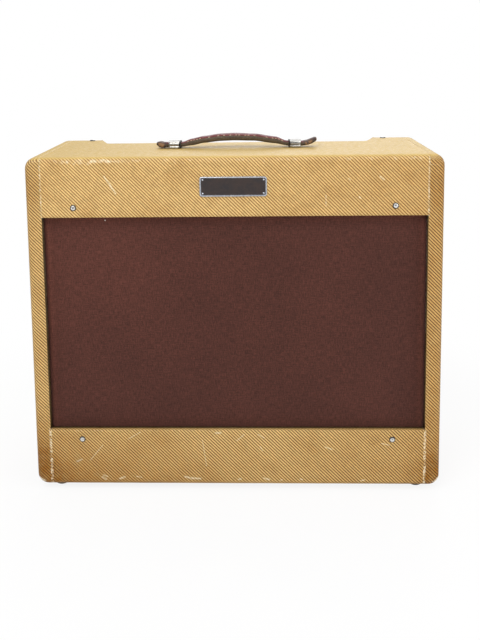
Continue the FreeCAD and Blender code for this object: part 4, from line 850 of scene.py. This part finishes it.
def build_seams():
    """Frayed thread ends along the seams of the covering."""
    rng = random.Random(7)
    cover = bpy.context.scene.amp_cover
    work = bmesh.new()

    def fray(start, end, outward, across, share=1.0):
        """Loose ends along a line, lying across it, in clusters."""
        start, end = Vector(start), Vector(end)
        count = int((end - start).length / FRAY_STEP)
        density = rng.uniform(0, 50)
        for k in range(count):
            spot = start.lerp(end, (k + rng.random()) / count)
            thick = 0.5 + 0.5 * noise.noise(Vector((spot.x + density, spot.y, spot.z)) * 0.09)
            if rng.random() > (0.35 + 0.75 * thick) * share:
                continue
            spot += across * rng.uniform(-0.7, 0.7) + outward * 0.05
            heading = across * rng.choice((-1, 1)) + outward * rng.uniform(0.05, 0.35)
            heading += (end - start).normalized() * rng.uniform(-0.8, 0.8)
            add_fibre(work, spot, heading, rng.uniform(0.8, 2.1), rng.uniform(0.14, 0.3))

    across = Vector((1, 0, 0))
    ahead, up = Vector((0, -1, 0)), Vector((0, 0, 1))
    for sign in (-1, 1):
        x = sign * SEAM
        fray((x, FRONT, BASE + 6), (x, FRONT, LOWER_EDGE), ahead, across)
        fray((x, FRONT, UPPER_EDGE), (x, FRONT, CROWN - 6), ahead, across)
        fray((x, FRONT + 7, CROWN), (x, rear_at(CROWN) - 8, CROWN), up, across, 0.8)
    fray((SEAM, FRONT, CROWN - 13), (HALF - 6, FRONT, CROWN - 14), ahead, up)
    fray((-SEAM, FRONT, LOWER_EDGE - 1), (6 - HALF, FRONT, LOWER_EDGE), ahead, up, 0.7)
    fray((-SEAM, FRONT, LOWER_EDGE - 1), (-20, FRONT, LOWER_EDGE - 1), ahead, up, 0.3)
    make = Finish("frayed_thread", roughness=0.8, Sheen_Weight=0.2)
    here = make.place()
    base = make.mix(make.noise(here, 0.4, detail=2), cover.worn, linear(214, 184, 132))
    thread = make.finish(base, make.bump(make.noise(here, 6), 0.05, 0.4))
    piece_from(work, "frayed_seams", thread, slot="tweed", smooth=False)


# grille cloth
def build_grille():
    low, high = GRILLE_LOW, GRILLE_HIGH
    wide = SEAM - 0.1
    rows, marks = [], []
    for z in evenly(low[2], high[2], 64):
        rows.append([(x, low[1] + 0.3 + noise.noise(Vector((x, 0, z)) * 0.012) * 0.25, z)
                     for x in evenly(-wide, wide, 90)])
        marks.append([(x, z + 0.6 * sin(x * 0.011)) for x, _, z in rows[-1]])
    work = bmesh.new()
    add_grid(work, rows, marks)
    face_outward(work, (0, 200, (low[2] + high[2]) / 2))
    piece = piece_from(work, "grille_linen", linen_finish(bpy.context.scene.amp_cloth),
                       slot="grille_cloth", replaces=["grille_cloth"])
    thicken(piece, 0.35)


# strap handle; each list gives (place along the strap, size)
STRAP_TOP = [(-111.5, 8.6), (-107, 9.8), (-101, 8.7), (-96, 8.5), (-80, 8.7), (-73.5, 9.0),
             (-62, 13.0), (-44, 16.7), (-20, 19.9), (0, 20.6), (28, 19.3), (59, 14.8), (73.5, 9.1),
             (80, 8.8), (96, 8.5), (103, 9.8), (109, 12.0), (114, 14.0), (116.5, 13.4)]
STRAP_UNDER = [(-111.5, 4.6), (-107, 1.9), (-101, 1.1), (-96, 1.9), (-76, 2.2), (-60, 4.2),
               (-44, 7.6), (-20, 10.1), (0, 10.7), (28, 10.0), (56, 6.0), (76, 2.4), (96, 2.1),
               (103, 3.0), (109, 4.8), (114, 7.4), (116.5, 9.6)]
STRAP_HALF = [(-111.5, 8.0), (-107, 11.6), (-101, 10.2), (-96, 8.9), (-73, 8.9), (-44, 12.2),
              (0, 12.5), (44, 12.2), (73, 8.9), (96, 8.9), (101, 10.0), (110, 11.6), (116.5, 8.4)]


def strap_point(x, turn, centre_y):
    """A point of the strap's skin at a place along it and an angle round it."""
    top, under = smooth_through(STRAP_TOP, x), smooth_through(STRAP_UNDER, x)
    half = smooth_through(STRAP_HALF, x)
    c, s = cos(turn), sin(turn)
    y = half * copysign(abs(c) ** 0.5, c)
    rise = (top - under) / 2
    z = (top + under) / 2 + rise * copysign(abs(s) ** (0.8 if s > 0 else 0.55), s)
    return Vector((x, centre_y + y, CROWN + z))


ROUND_MARK = 500  # the cloth map's second number runs from 0 to this once round the strap


def leather_finish(cloths):
    """Dyed strap leather: burgundy grain on top, bare layered edge, raw frayed tips."""
    make = Finish("strap_leather", roughness=0.55, Specular_IOR_Level=0.4)
    here = make.place()
    x, turn, _ = make.split(make.place("cloth"))
    grain = make.noise(here, 1.4, detail=5, roughness=0.65)
    creases = make.stretched(here, 0.9, 0.12, 0.4, scale=1.2, detail=4, roughness=0.7)
    layers = make.stretched(here, 0.08, 0.4, 2.4, detail=3, roughness=0.6)
    edged = turn + (make.noise(here, 0.3, detail=3) - 0.5) * 26.0
    top = make.ease(edged, 42.0, 52.0) * make.ease(edged, 214.0, 204.0)
    rub = make.noise(here, 0.12, detail=4, roughness=0.7)
    red = make.stain(cloths.strap_red, linear(70, 34, 36), rub, 0.5, 0.72, 0.6)
    red = make.shade(red, grain, 0.8, 1.15)
    edge = make.stain(cloths.strap_edge, linear(46, 38, 30), layers, 0.35, 0.7)
    edge = make.stain(edge, linear(146, 132, 98), grain, 0.55, 0.7, 0.8)
    shown = make.mix(top, edge, red)
    away = abs(x)
    core = make.ease(away, 98.0, 102.0) * make.ease(away, 112.0, 108.0)
    face = make.ease(turn, 196.0, 212.0) * make.ease(turn, 330.0, 300.0)
    raw = core * make.ease(rub, 0.45, 0.54) * make.math("MAXIMUM", face, 0.25)
    shown = make.stain(shown, linear(56, 42, 36), away, 96.5, 99.0, 0.85)
    shown = make.mix(raw, shown, linear(128, 96, 66))
    shown = make.stain(shown, cloths.strap_tan, away, 115.6, 116.3, 0.7)
    gloss = make.ease(rub, 0.3, 0.7, 0.4, 0.72)
    return make.finish(shown, make.bump(grain + creases * 1.4, 0.35, 0.6), gloss)


def build_strap(mid):
    """The strap itself, thick in the middle and ragged where its ends show."""
    left_end, right_end = STRAP_TOP[0][0], STRAP_TOP[-1][0]
    turns = circle(36)
    rows, marks = [], []
    for x in evenly(left_end, right_end, 152):
        row = []
        for turn in turns + turns[:1]:
            p = strap_point(x, turn, mid)
            if abs(x) > 100:
                ragged = noise.noise(p * 0.45) * 0.9 + noise.noise(p * 1.1) * 0.4
                p += Vector((ragged * 0.8, ragged * 0.7, ragged * 0.6)) * min(1, (abs(x) - 100) / 6)
            p.x = max(left_end, min(right_end, p.x))
            row.append(p)
        rows.append(row)
        marks.append([(x, v) for v in evenly(0, ROUND_MARK, len(row))])
    work = bmesh.new()
    spots = add_grid(work, rows, marks)
    for end in (spots[0], spots[-1]):
        work.faces.new(end[:-1])
    leather = leather_finish(bpy.context.scene.amp_cloth)
    solid_from(work, "leather_strap", leather, rides="handle", slot="leather",
               replaces=["handle_strap"], weld=0.005)


STITCH_STEP, STITCH_LONG = 4.3, 2.9
STITCHES = (-72.0, 66.0)  # where the two rows start and end
DENSE_TO = -36  # few stitches are lost up to here, most of them beyond
# a stitch's thickness along it: (share of its length, radius)
STITCH = ((0, 0.1), (0.15, 0.36), (0.5, 0.44), (0.85, 0.36), (1, 0.1))


def build_stitches(mid):
    """The waxed stitches that are left along both edges of the strap."""
    rng = random.Random(3)
    work = bmesh.new()
    for side in (-1, 1):
        turn = pi / 2 - side * 0.98
        flat = Vector((0, side, 0))
        x = STITCHES[0]
        while x < STITCHES[1]:
            x += STITCH_STEP
            if rng.random() < (0.08 if x < DENSE_TO else 0.62):
                continue
            a, b = strap_point(x, turn, mid), strap_point(x + STITCH_LONG, turn, mid)
            lift = (b - a).normalized().cross(flat).normalized()
            if lift.z < 0:
                lift = -lift
            rows = []
            for f, w in STITCH:
                centre = a.lerp(b, f) + lift * (0.05 + 0.3 * sin(pi * f))
                rows.append([centre + (flat * cos(t) + lift * sin(t)) * w for t in circle(6)])
            made = add_grid(work, rows, closed=True)
            work.faces.new(made[0])
            work.faces.new(made[-1])
    make = Finish("waxed_thread", roughness=0.6)
    here = make.place()
    base = make.mix(make.noise(here, 0.5), linear(222, 206, 178), linear(166, 140, 108))
    thread = make.finish(base, make.bump(make.noise(here, 4.0), 0.08, 0.5))
    solid_from(work, "strap_stitches", thread, rides="handle", slot="leather")


# half of a cap's section, from its crown down to its foot: (width, height)
CAP_HALF = [(0, 10.4), (5.5, 10.4), (9.2, 10.2), (11.3, 9.3), (12.2, 7.9), (12.35, 6.9), (12.9, 6.3),
            (12.95, 5.6), (12.45, 4.9), (12.5, 3.8), (12.95, 3.0), (13.0, 1.3), (12.3, 0.25),
            (8.5, 0.15), (4.2, 0.15)]
CAP_TALL = 10.4
CAP_RUN = 15.8


def build_caps(centres, mid):
    """The plated caps: folded sheet, open toward the strap."""
    profile = [(-y, z) for y, z in reversed(CAP_HALF)] + CAP_HALF[1:]
    work = bmesh.new()
    for cx in centres:
        rows = []
        for f, lip in [(-1, 0.32), (-0.9, 0.12), (-0.72, 0), (-0.3, 0), (0.3, 0), (0.72, 0),
                       (0.9, 0.12), (1, 0.32)]:
            row = []
            for y, z in profile:
                half = 6.3 + 1.5 * (z / CAP_TALL) ** 1.5
                out = min(lip, abs(y)) if z > 1.5 else 0
                row.append((cx + f * half, mid + y + copysign(out, y), CROWN + z))
            rows.append(row)
        add_grid(work, rows)
    face_outward(work, (0, mid, CROWN + 5))
    for face in work.faces:
        centre = face.calc_center_median()
        home = min(centres, key=lambda c: abs(c - centre.x))
        if (centre - Vector((home, mid, CROWN + 5))).dot(face.normal) < 0:
            face.normal_flip()
    # painted shade: the last numbers give the heights of dark lines in the caps' creases
    nickel = metal_finish("worn_nickel_with_painted_shade", (186, 184, 178), (100, 90, 72), 0.28, 0.6, (0.6, 0.6, 1.6),
                          ((7.2, 1.2), (4.3, 1.0), (0.2, 0.9)))
    caps = piece_from(work, "nickel_caps", nickel, slot="nickel", replaces=["handle_caps"])
    thicken(caps, 1.0)
    ease_edges(caps, 0.25)


def build_collars(centres, mid):
    """Black collars at the caps' mouths, which the strap slides through."""
    work = bmesh.new()
    for cx in centres:
        mouth = cx - copysign(CAP_RUN / 2 + 1.1, cx)
        rows = []
        for half, low, high, shift in ((9.5, 1.5, 9.4, -0.8), (11.5, 0.3, 10.5, -0.8),
                                       (11.5, 0.3, 10.5, 0.8), (9.5, 1.5, 9.4, 0.8),
                                       (9.5, 1.5, 9.4, -0.8)):
            row = []
            for t in circle(32):
                c, s = [copysign(abs(v) ** 0.4, v) for v in (cos(t), sin(t))]
                row.append((mouth + shift, mid + half * c, CROWN + (low + high) / 2 + (high - low) / 2 * s))
            rows.append(row)
        add_grid(work, rows, closed=True)
    collar = moulded_finish("strap_collar_black", (26, 24, 23), (50, 44, 40), 0.6)
    solid_from(work, "strap_collars", collar, slot="leather", weld=0.002)


def build_handle():
    mid = middle("handle_strap")[1]
    build_strap(mid)
    build_stitches(mid)
    low, high = span("handle_caps")
    centres = [low[0] + CAP_RUN / 2, high[0] - CAP_RUN / 2]
    mid = middle("handle_caps")[1]
    build_caps(centres, mid)
    build_collars(centres, mid)


# name plate, screws and feet
def rounded_loop(half_w, half_h, radius, steps=6):
    """Points round a rectangle with round corners, in its own plane."""
    points = []
    for corner, (sx, sy) in enumerate(((1, 1), (-1, 1), (-1, -1), (1, -1))):
        for k in range(steps + 1):
            a = pi / 2 * (corner + k / steps)
            points.append((sx * (half_w - radius) + radius * cos(a),
                           sy * (half_h - radius) + radius * sin(a)))
    return points


# how far the name plate's rim is drawn in at each share of its depth: (inset, share)
RIM = [(0, 0.0), (0, 0.6), (0.35, 0.92), (0.9, 1.0), (1.5, 0.95), (1.95, 0.72), (2.1, 0.66)]
PIN = [(0.0, 2.1), (0.6, 2.0), (1.1, 1.7), (1.35, 1.3), (1.4, 1.2), (0.7, 1.2), (0.7, 0.0), (0.0, 0.0)]
PIN_RADIUS = 1.4


def enamel_finish():
    """Worn dark enamel with brush marks and pits."""
    make = Finish("badge_field", roughness=0.42, metallic=0.25)
    here = make.place()
    brushed = make.stretched(here, 0.06, 1.0, 2.6, detail=4, roughness=0.7)
    cloud = make.noise(here, 0.09, detail=5, roughness=0.65)
    pits = make.noise(here, 0.8, detail=4, roughness=0.7)
    base = make.stain(linear(50, 38, 34), linear(34, 30, 32), cloud, 0.35, 0.7)
    base = make.shade(base, brushed, 0.85, 1.15)
    base = make.stain(base, linear(104, 96, 92), pits, 0.66, 0.76, 0.3)
    return make.finish(base, make.bump(brushed, 0.05, 0.4), make.ease(cloud, 0.3, 0.7, 0.3, 0.55))


def build_badge():
    low, high = span("badge_plate")
    cx, _, cz = middle("badge_plate")
    half_w, half_h = (high[0] - low[0]) / 2, (high[2] - low[2]) / 2
    back, deep = high[1], high[1] - low[1]
    work = bmesh.new()
    rows = []
    for inset, share in RIM:
        loop = rounded_loop(half_w - inset, half_h - inset, max(3.4 - inset, 1.4))
        rows.append([(cx + x, back - share * deep, cz + z) for x, z in loop])
    spots = add_grid(work, rows, closed=True)
    work.faces.new(spots[0])
    work.faces.new(spots[-1]).material_index = 1
    rim = metal_finish("badge_rim", (190, 194, 202), (110, 100, 92), 0.22, 0.3)
    solid_from(work, "badge_plate_bare", rim, enamel_finish(), slot="badge", replaces=["badge_plate"],
               smooth=False)

    low, high = span("badge_pins")
    work = bmesh.new()
    for x in (low[0] + PIN_RADIUS, high[0] - PIN_RADIUS):
        for z in (low[2] + PIN_RADIUS, high[2] - PIN_RADIUS):
            lathe(work, PIN, (x, back, z), "-Y", 20)
    solid_from(work, "badge_pin_heads", rim, slot="nickel", replaces=["badge_pins"])


# a screw head's rings as shares of its radius; the last one goes down to the surface
HEAD_RINGS = (0, 0.07, 0.14, 0.21, 0.28, 0.35, 0.42, 0.5, 0.6, 0.7, 0.8, 0.88, 0.95, 1.0, 1.0)
HEAD_RADIUS = 4.2
SHANK_RADIUS = 2.4
SLOT_HALF = 0.34


def crossed_head(work, centre, rise, facing):
    """A domed screw head with a cross recess; facing is -Y or Z."""
    spin = radians(random.Random(round(centre[0] * 7 + centre[2])).uniform(0, 90))
    turns = circle(64)
    rows, deep = [], []
    for index, f in enumerate(HEAD_RINGS):
        row, sunk = [], []
        reach = HEAD_RADIUS * f
        for a in turns:
            arm = min(abs(sin(a - spin)), abs(cos(a - spin))) * reach
            sunk.append(arm < SLOT_HALF and f < 0.34)
            height = rise * (0.3 if sunk[-1] else sqrt(1 - (f * 0.96) ** 2))
            if index == len(HEAD_RINGS) - 1:
                height = 0.0
            u, v = reach * cos(a), reach * sin(a)
            offset = (u, -height, v) if facing == "-Y" else (u, v, height)
            row.append(Vector(centre) + Vector(offset))
        rows.append(row)
        deep.append(sunk)
    before = len(work.faces)
    add_grid(work, rows, closed=True)
    work.faces.ensure_lookup_table()
    for index in range(len(rows) - 1):
        for k in range(len(turns)):
            # painted shade in the cross, painted dark reflection on the outer rings
            if index > 8 or (deep[index][k] and deep[index + 1][k]):
                work.faces[before + index * len(turns) + k].material_index = 1


# a domed glide's section up to its shoulder: (radius, height)
GLIDE_RADIUS = 11.0
GLIDE = [(0.0, 0.0), (4.0, 0.2), (7.4, 1.1), (9.6, 2.8), (10.7, 5.0), (11.0, 6.4), (11.0, 7.0),
         (10.2, 7.3), (10.2, 7.9), (11.0, 8.2)]


def build_hardware():
    steel = metal_finish("screw_nickel", (214, 213, 210), (110, 96, 78), 0.24, 0.4)
    # painted shade and reflection: dark metal for the cross recesses and the dome rims
    recess = metal_finish("screw_painted_shade", (74, 68, 62), (40, 34, 28), 0.5, 0.5)
    low, high = span("baffle_screws")
    corners = ((high[0] - HEAD_RADIUS, high[2] - HEAD_RADIUS),
               (high[0] - HEAD_RADIUS - 1, low[2] + HEAD_RADIUS))
    baffle = [(sign * x, FRONT, z) for sign in (-1, 1) for x, z in corners]
    top_low, top_high = span("chassis_screws")
    depth = middle("chassis_screws")[1]
    chassis = [(sign * (top_high[0] - HEAD_RADIUS), depth, CROWN) for sign in (-1, 1)]
    for part, spots, rise, facing, inward, start, run in (
            ("baffle_screw", baffle, FRONT - low[1], "-Y", "Y", 0.05, high[1] - FRONT),
            ("chassis_screw", chassis, top_high[2] - CROWN, "Z", "Z", 0.0, top_low[2] - CROWN)):
        work = bmesh.new()
        for spot in spots:
            crossed_head(work, spot, rise, facing)
            shank = [(SHANK_RADIUS, start), (SHANK_RADIUS, run), (0.0, run)]
            lathe(work, shank, spot, inward, 20)
        solid_from(work, part + "_heads", steel, recess, slot="nickel", replaces=[part + "s"],
                   weld=0.003)

    low, high = span("glide_feet")
    dome = GLIDE + [(GLIDE_RADIUS, high[2] - low[2]), (0.0, high[2] - low[2])]
    work = bmesh.new()
    for x in (low[0] + GLIDE_RADIUS, high[0] - GLIDE_RADIUS):
        for y in (low[1] + GLIDE_RADIUS, high[1] - GLIDE_RADIUS):
            lathe(work, dome, (x, y, 0), "Z", 48)
    glide = metal_finish("glide_steel", (112, 106, 98), (74, 54, 38), 0.42, 0.5, (1, 1, 0.4))
    solid_from(work, "domed_glides", glide, slot="glide", replaces=["glide_feet"])


def dress(material, *nodes):
    """Gives CAD nodes that stay in view their finish."""
    for node in nodes:
        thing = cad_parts[node]
        if not thing.material_slots:
            thing.data.materials.append(material)
            continue
        for place in thing.material_slots:
            place.link = "OBJECT"
            place.material = material


# woodwork and back
def build_woodwork():
    pale, dark = (214, 178, 128), (158, 110, 62)
    dress(wood_finish("pine_upright", 2, pale, dark), "side_board_left", "side_board_right")
    dress(wood_finish("pine_level", 0, pale, dark), "top_board", "bottom_board", "upper_front_panel",
          "lower_front_panel")
    dress(wood_finish("cleat_pine", 2, (200, 164, 116), (142, 98, 56)), "back_cleats")
    dress(ply_finish("baffle_ply", (150, 118, 80), (92, 66, 44)), "baffle_board")
    dress(metal_finish("plain_steel", (150, 148, 144), (96, 74, 56), 0.38, 0.5), "hex_nuts",
          "speaker_bolts", "wood_screws", "panel_nuts")


BOARD_THICK = 8.0
CLOTH_THICK = 1.0


def skin_at(z):
    """Depth of the cloth on the back panels at a height."""
    return rear_at(z) - CLOTH_THICK


def build_back_panels():
    """Covered back boards: cloth over the outside and its edges, bare board inside."""
    cover = bpy.context.scene.amp_cover
    scuffs = [(-120, 70, -104, 60, 1.2), (60, 120, 90, 112, 0.9)]
    cloth = woven_finish("tweed_back", cover, scuffs, 0.95)
    board = wood_finish("back_board", 0, (206, 170, 122), (150, 106, 62))
    for node in ("lower_back_panel", "upper_back_panel"):
        (_, _, low), (half, _, high) = span(node)
        turn = [(half, BOARD_THICK - 0.3), (half, 1.2), (half - 0.35, 0.35), (half - 1.2, 0.0)]
        line = [(-x, sunk) for x, sunk in turn] + [(x, 0.0) for x in evenly(20 - half, half - 20, 26)]
        line += reversed(turn)
        rows = [[(x, skin_at(z) - sunk, z) for x, sunk in line] for z in evenly(low, high, 12)]
        marks = [[(x, z) for x, _, z in row] for row in rows]
        first, last = [[(x, skin_at(z) - BOARD_THICK + 0.3, z) for x, _ in line] for z in (low, high)]
        rows = [first, *rows, last]
        marks = [[(x, low - BOARD_THICK) for x, _ in line], *marks,
                 [(x, high + BOARD_THICK) for x, _ in line]]
        work = bmesh.new()
        add_grid(work, rows, marks)
        face_outward(work, (0, 0, (low + high) / 2))
        skin = piece_from(work, node.replace("panel", "cloth"), cloth, slot="tweed")
        paint_points(skin, "wear_and_highlight", lambda p: 0.34 * max(near(p.z, low, 2), near(p.z, high, 2)))
        paint_points(skin, "grime_and_shade", lambda p: 0.12)
        thicken(skin, 0.6)
        work = bmesh.new()
        wide = half - 0.8
        corners = [(-wide, BOARD_THICK), (wide, BOARD_THICK), (wide, 0.8), (-wide, 0.8)]
        ends = [[(x, skin_at(z) - sunk, z) for x, sunk in corners] for z in (low + 0.8, high - 0.8)]
        for end in add_grid(work, ends, closed=True):
            work.faces.new(end)
        wood = solid_from(work, node.replace("panel", "board"), board, slot="plywood", replaces=[node],
                          smooth=False)
        ease_edges(wood, 0.6)


# speakers, controls, valves and transformers
def build_speakers():
    finishes = {
        "frame": painted_finish("basket_enamel", (86, 92, 92), (136, 132, 122), 0.42, 0.5, 0.1),
        "motor": painted_finish("magnet_enamel", (52, 56, 60), (112, 104, 94), 0.38, 0.4, 0.1),
        "cone": paper_finish("cone_paper", (62, 56, 50), (92, 84, 74), 0.9, 6.0),
        "surround": paper_finish("surround_cloth", (40, 34, 30), (66, 56, 46), 0.7, 2.2),
        "spider": paper_finish("spider_cloth", (168, 118, 60), (132, 86, 42), 0.75, 1.2),
    }
    for part, material in finishes.items():
        dress(material, f"speaker_{part}_left", f"speaker_{part}_right")
    dress(paper_finish("gasket_cork", (168, 128, 84), (110, 76, 46), 0.95), "speaker_gaskets")


DIALS = ("bright_volume", "normal_volume", "tone")
DIAL_RADIUS = 15.5


def build_controls():
    chrome = metal_finish("control_chrome", (158, 158, 156), (120, 100, 80), 0.28, 0.3, (0.08, 1, 1))
    dress(chrome, "chassis")
    knob = moulded_finish("knob_phenolic", (58, 32, 20), (88, 50, 28), 0.26)
    steel = metal_finish("turned_steel", (176, 172, 164), (110, 88, 64), 0.26, 0.3, (1, 1, 0.1))
    for label in DIALS:
        dress(knob, label + "_knob")
        dress(steel, label + "_shaft")
    dress(steel, "potentiometers", "input_jacks", "power_toggle", "standby_toggle", "pilot_bezel")
    dress(moulded_finish("black_phenolic", (30, 28, 27), (52, 46, 42), 0.4), "switch_housings",
          "fuse_holder", "cord_grommet")
    dress(glass_finish("red_jewel", linear(196, 24, 20), 0.05), "pilot_jewel")
    build_dial_marks()


def build_dial_marks():
    """Plain numbers from 1 to 12 round each knob."""
    ink = moulded_finish("dial_ink", (28, 26, 25), (46, 42, 40), 0.5)
    top = span("chassis")[1][2]
    for label in DIALS:
        x, y, _ = middle(label + "_shaft")
        work = bmesh.new()
        for number in range(1, 13):
            turn = radians(240 - (number - 1) * 300 / 11)
            text = bpy.data.curves.new("numeral", "FONT")
            text.body = str(number)
            text.size = 3.4
            text.align_x = text.align_y = "CENTER"
            text.extrude = 0.03
            holder = bpy.data.objects.new("numeral", text)
            mesh = bpy.data.meshes.new_from_object(holder)
            spot = (x + DIAL_RADIUS * cos(turn), y + DIAL_RADIUS * sin(turn), top + 0.04)
            mesh.transform(Matrix.Translation(spot) @ Matrix.Rotation(pi, 4, "Z"))
            work.from_mesh(mesh)
            bpy.data.objects.remove(holder)
            bpy.data.curves.remove(text)
            bpy.data.meshes.remove(mesh)
        piece_from(work, label + "_numbers", ink, slot="chrome_sheet", smooth=False)


def base_finish():
    """Valve bases: dark moulding with a metal band below."""
    make = Finish("valve_base", roughness=0.45)
    here = make.place()
    waist = span("power_tube_bases")[1][2] - 14.0
    dark = make.mix(make.noise(here, 0.4, detail=3), linear(36, 28, 24), linear(60, 44, 34))
    plate = make.mix(make.noise(here, 0.2, detail=4), linear(96, 98, 100), linear(62, 64, 68))
    shown = make.stain(plate, dark, make.split(here)[2], waist - 0.6, waist - 0.2)
    return make.finish(shown, make.bump(make.noise(here, 1.5), 0.1, 0.4))


def build_inside():
    dress(moulded_finish("socket_phenolic", (74, 46, 30), (104, 66, 40), 0.45), "tube_sockets")
    dress(base_finish(), "power_tube_bases")
    dress(glass_finish("valve_glass", (0.93, 0.95, 0.93)), "power_tube_glass")
    dress(metal_finish("shield_aluminium", (190, 192, 192), (130, 128, 122), 0.34, 0.3, (1, 1, 0.15)),
          "preamp_tube_shields")
    dress(painted_finish("transformer_black", (38, 38, 40), (92, 84, 76), 0.45, 0.7, 0.08),
          "power_transformer", "output_transformer")
    dress(paper_finish("board_fibre", (52, 44, 38), (150, 118, 62), 0.6), "circuit_board")


# stage
FLOOR_HALF = 4000
# the view: angles in degrees, place and lens in millimetres
LOOK = {"yaw": 2.205, "pitch": 8.154, "roll": -0.817}
LOOK_FROM = (36.6, -1343.2, 613.3)
LENS, SENSOR, SHIFT = 52.12, 36, (0.0229, -0.2197)


def build_floor():
    """A pale floor that fades to plain white away from the part."""
    lines = evenly(-FLOOR_HALF, FLOOR_HALF, 17)
    work = bmesh.new()
    add_grid(work, [[(x, y, 0.0) for x in lines] for y in lines])
    make = Finish("pale_floor", roughness=0.9, Specular_IOR_Level=0.1)
    here = make.place()
    make.finish(make.shade((0.86, 0.86, 0.86), make.noise(here, 0.01, detail=3), 0.98, 1.0))
    plain = make.add("ShaderNodeEmission", (1, 1, 1), 1.0)
    far = make.ease(make.vector("LENGTH", here), 360.0, 800.0, 0.87, 1.0)
    make.show("Material Output", make.direct_view() * far, make.shader, plain)
    object_from(work, "stage_floor", make.material)


def build_world(strength):
    """White to the camera, soft light to everything else."""
    world = bpy.data.worlds.new("pale_room")
    world.use_nodes = True
    bpy.context.scene.world = world
    make = Nodes(world.node_tree)
    light = make.nodes["Background"]
    make.feed(light.inputs["Color"], (1, 1, 1))
    make.feed(light.inputs["Strength"], strength)
    white = make.add("ShaderNodeBackground", (1, 1, 1), 1.0)
    make.show("World Output", make.direct_view(), light, white)


def add_lamp(name, power, spot, target):
    """A soft square light turned toward a point."""
    data = bpy.data.lights.new(name, "AREA")
    data.energy = power
    data.shape = "SQUARE"
    data.size = 1.8
    thing = put(name, data)
    thing.location = spot
    thing.rotation_euler = (Vector(target) - Vector(spot)).to_track_quat("-Z", "Y").to_euler()


def add_camera():
    yaw, pitch, roll = [radians(LOOK[name]) for name in ("yaw", "pitch", "roll")]
    right = Vector((cos(yaw), sin(yaw), 0))
    ahead = Vector((-sin(yaw) * cos(pitch), cos(yaw) * cos(pitch), -sin(pitch)))
    up = right.cross(ahead)
    data = bpy.data.cameras.new("view")
    data.sensor_width = SENSOR
    data.lens = LENS
    data.shift_x, data.shift_y = SHIFT
    camera = put("view", data)
    turned = (right * cos(roll) + up * sin(roll), up * cos(roll) - right * sin(roll))
    pose = Matrix((*turned, -ahead)).transposed().to_4x4()
    pose.translation = Vector(LOOK_FROM) * MM
    camera.matrix_world = pose
    bpy.context.scene.camera = camera


def build_stage():
    settings = bpy.context.scene.amp_stage
    build_floor()
    build_world(settings.ambient)
    add_lamp("key_light", settings.key, (-0.9, -2.1, 2.3), (0, 0, 0.3))
    add_lamp("fill_light", settings.fill, (1.9, -1.4, 1.2), (0, 0, 0.25))
    add_lamp("rear_light", settings.fill, (0.3, 2.2, 1.8), (0, 0, 0.25))
    add_camera()
    bpy.context.scene.view_settings.view_transform = "Standard"


# operators and panel
def step(name, label, about, build):
    """An operator class that runs one building function."""
    def execute(self, context):
        build()
        return {"FINISHED"}
    return type("AMP_OT_" + name, (bpy.types.Operator,),
                {"bl_idname": "amp." + name, "bl_label": label, "__doc__": about, "execute": execute})


STEPS = [
    step("covering", "Woven covering", "Cover the box in diagonal cloth", build_covering),
    step("seams", "Frayed seams", "Add loose thread ends along the seams", build_seams),
    step("grille", "Grille linen", "Stretch the linen over the baffle", build_grille),
    step("handle", "Strap handle", "Build the strap, its stitches, caps and collars", build_handle),
    step("badge", "Name plate", "Build the bare metal plate and its pins", build_badge),
    step("hardware", "Screws and glides", "Build the visible screws and the feet", build_hardware),
    step("woodwork", "Woodwork", "Finish the boards and plain fasteners", build_woodwork),
    step("back", "Back panels", "Cover the two back boards", build_back_panels),
    step("speakers", "Speakers", "Finish the baskets, cones and magnets", build_speakers),
    step("controls", "Controls", "Finish the chassis, knobs, jacks and switches", build_controls),
    step("inside", "Valves and transformers", "Finish the parts inside the box", build_inside),
    step("stage", "Stage", "Add the floor, lights, world and camera", build_stage),
]


class AMP_PT_sidebar(bpy.types.Panel):
    """Lists the steps and their settings."""
    bl_label = "Guitar Amplifier"
    bl_space_type = "VIEW_3D"
    bl_region_type = "UI"
    bl_category = "Amplifier"

    def draw(self, context):
        for one in STEPS:
            self.layout.operator(one.bl_idname)
        for group in (context.scene.amp_cover, context.scene.amp_cloth, context.scene.amp_stage):
            for name in group.__annotations__:
                self.layout.prop(group, name)


SETTINGS = {"amp_cover": AmpCoverSettings, "amp_cloth": AmpClothSettings, "amp_stage": AmpStageSettings}


def register():
    for name, group in SETTINGS.items():
        bpy.utils.register_class(group)
        setattr(bpy.types.Scene, name, PointerProperty(type=group))
    for one in STEPS + [AMP_PT_sidebar]:
        bpy.utils.register_class(one)


def unregister():
    for one in reversed(STEPS + [AMP_PT_sidebar]):
        bpy.utils.unregister_class(one)
    for name, group in SETTINGS.items():
        delattr(bpy.types.Scene, name)
        bpy.utils.unregister_class(group)


def main():
    register()
    for one in STEPS:
        space, name = one.bl_idname.split(".")
        getattr(getattr(bpy.ops, space), name)()


if __name__ == "__main__":
    main()
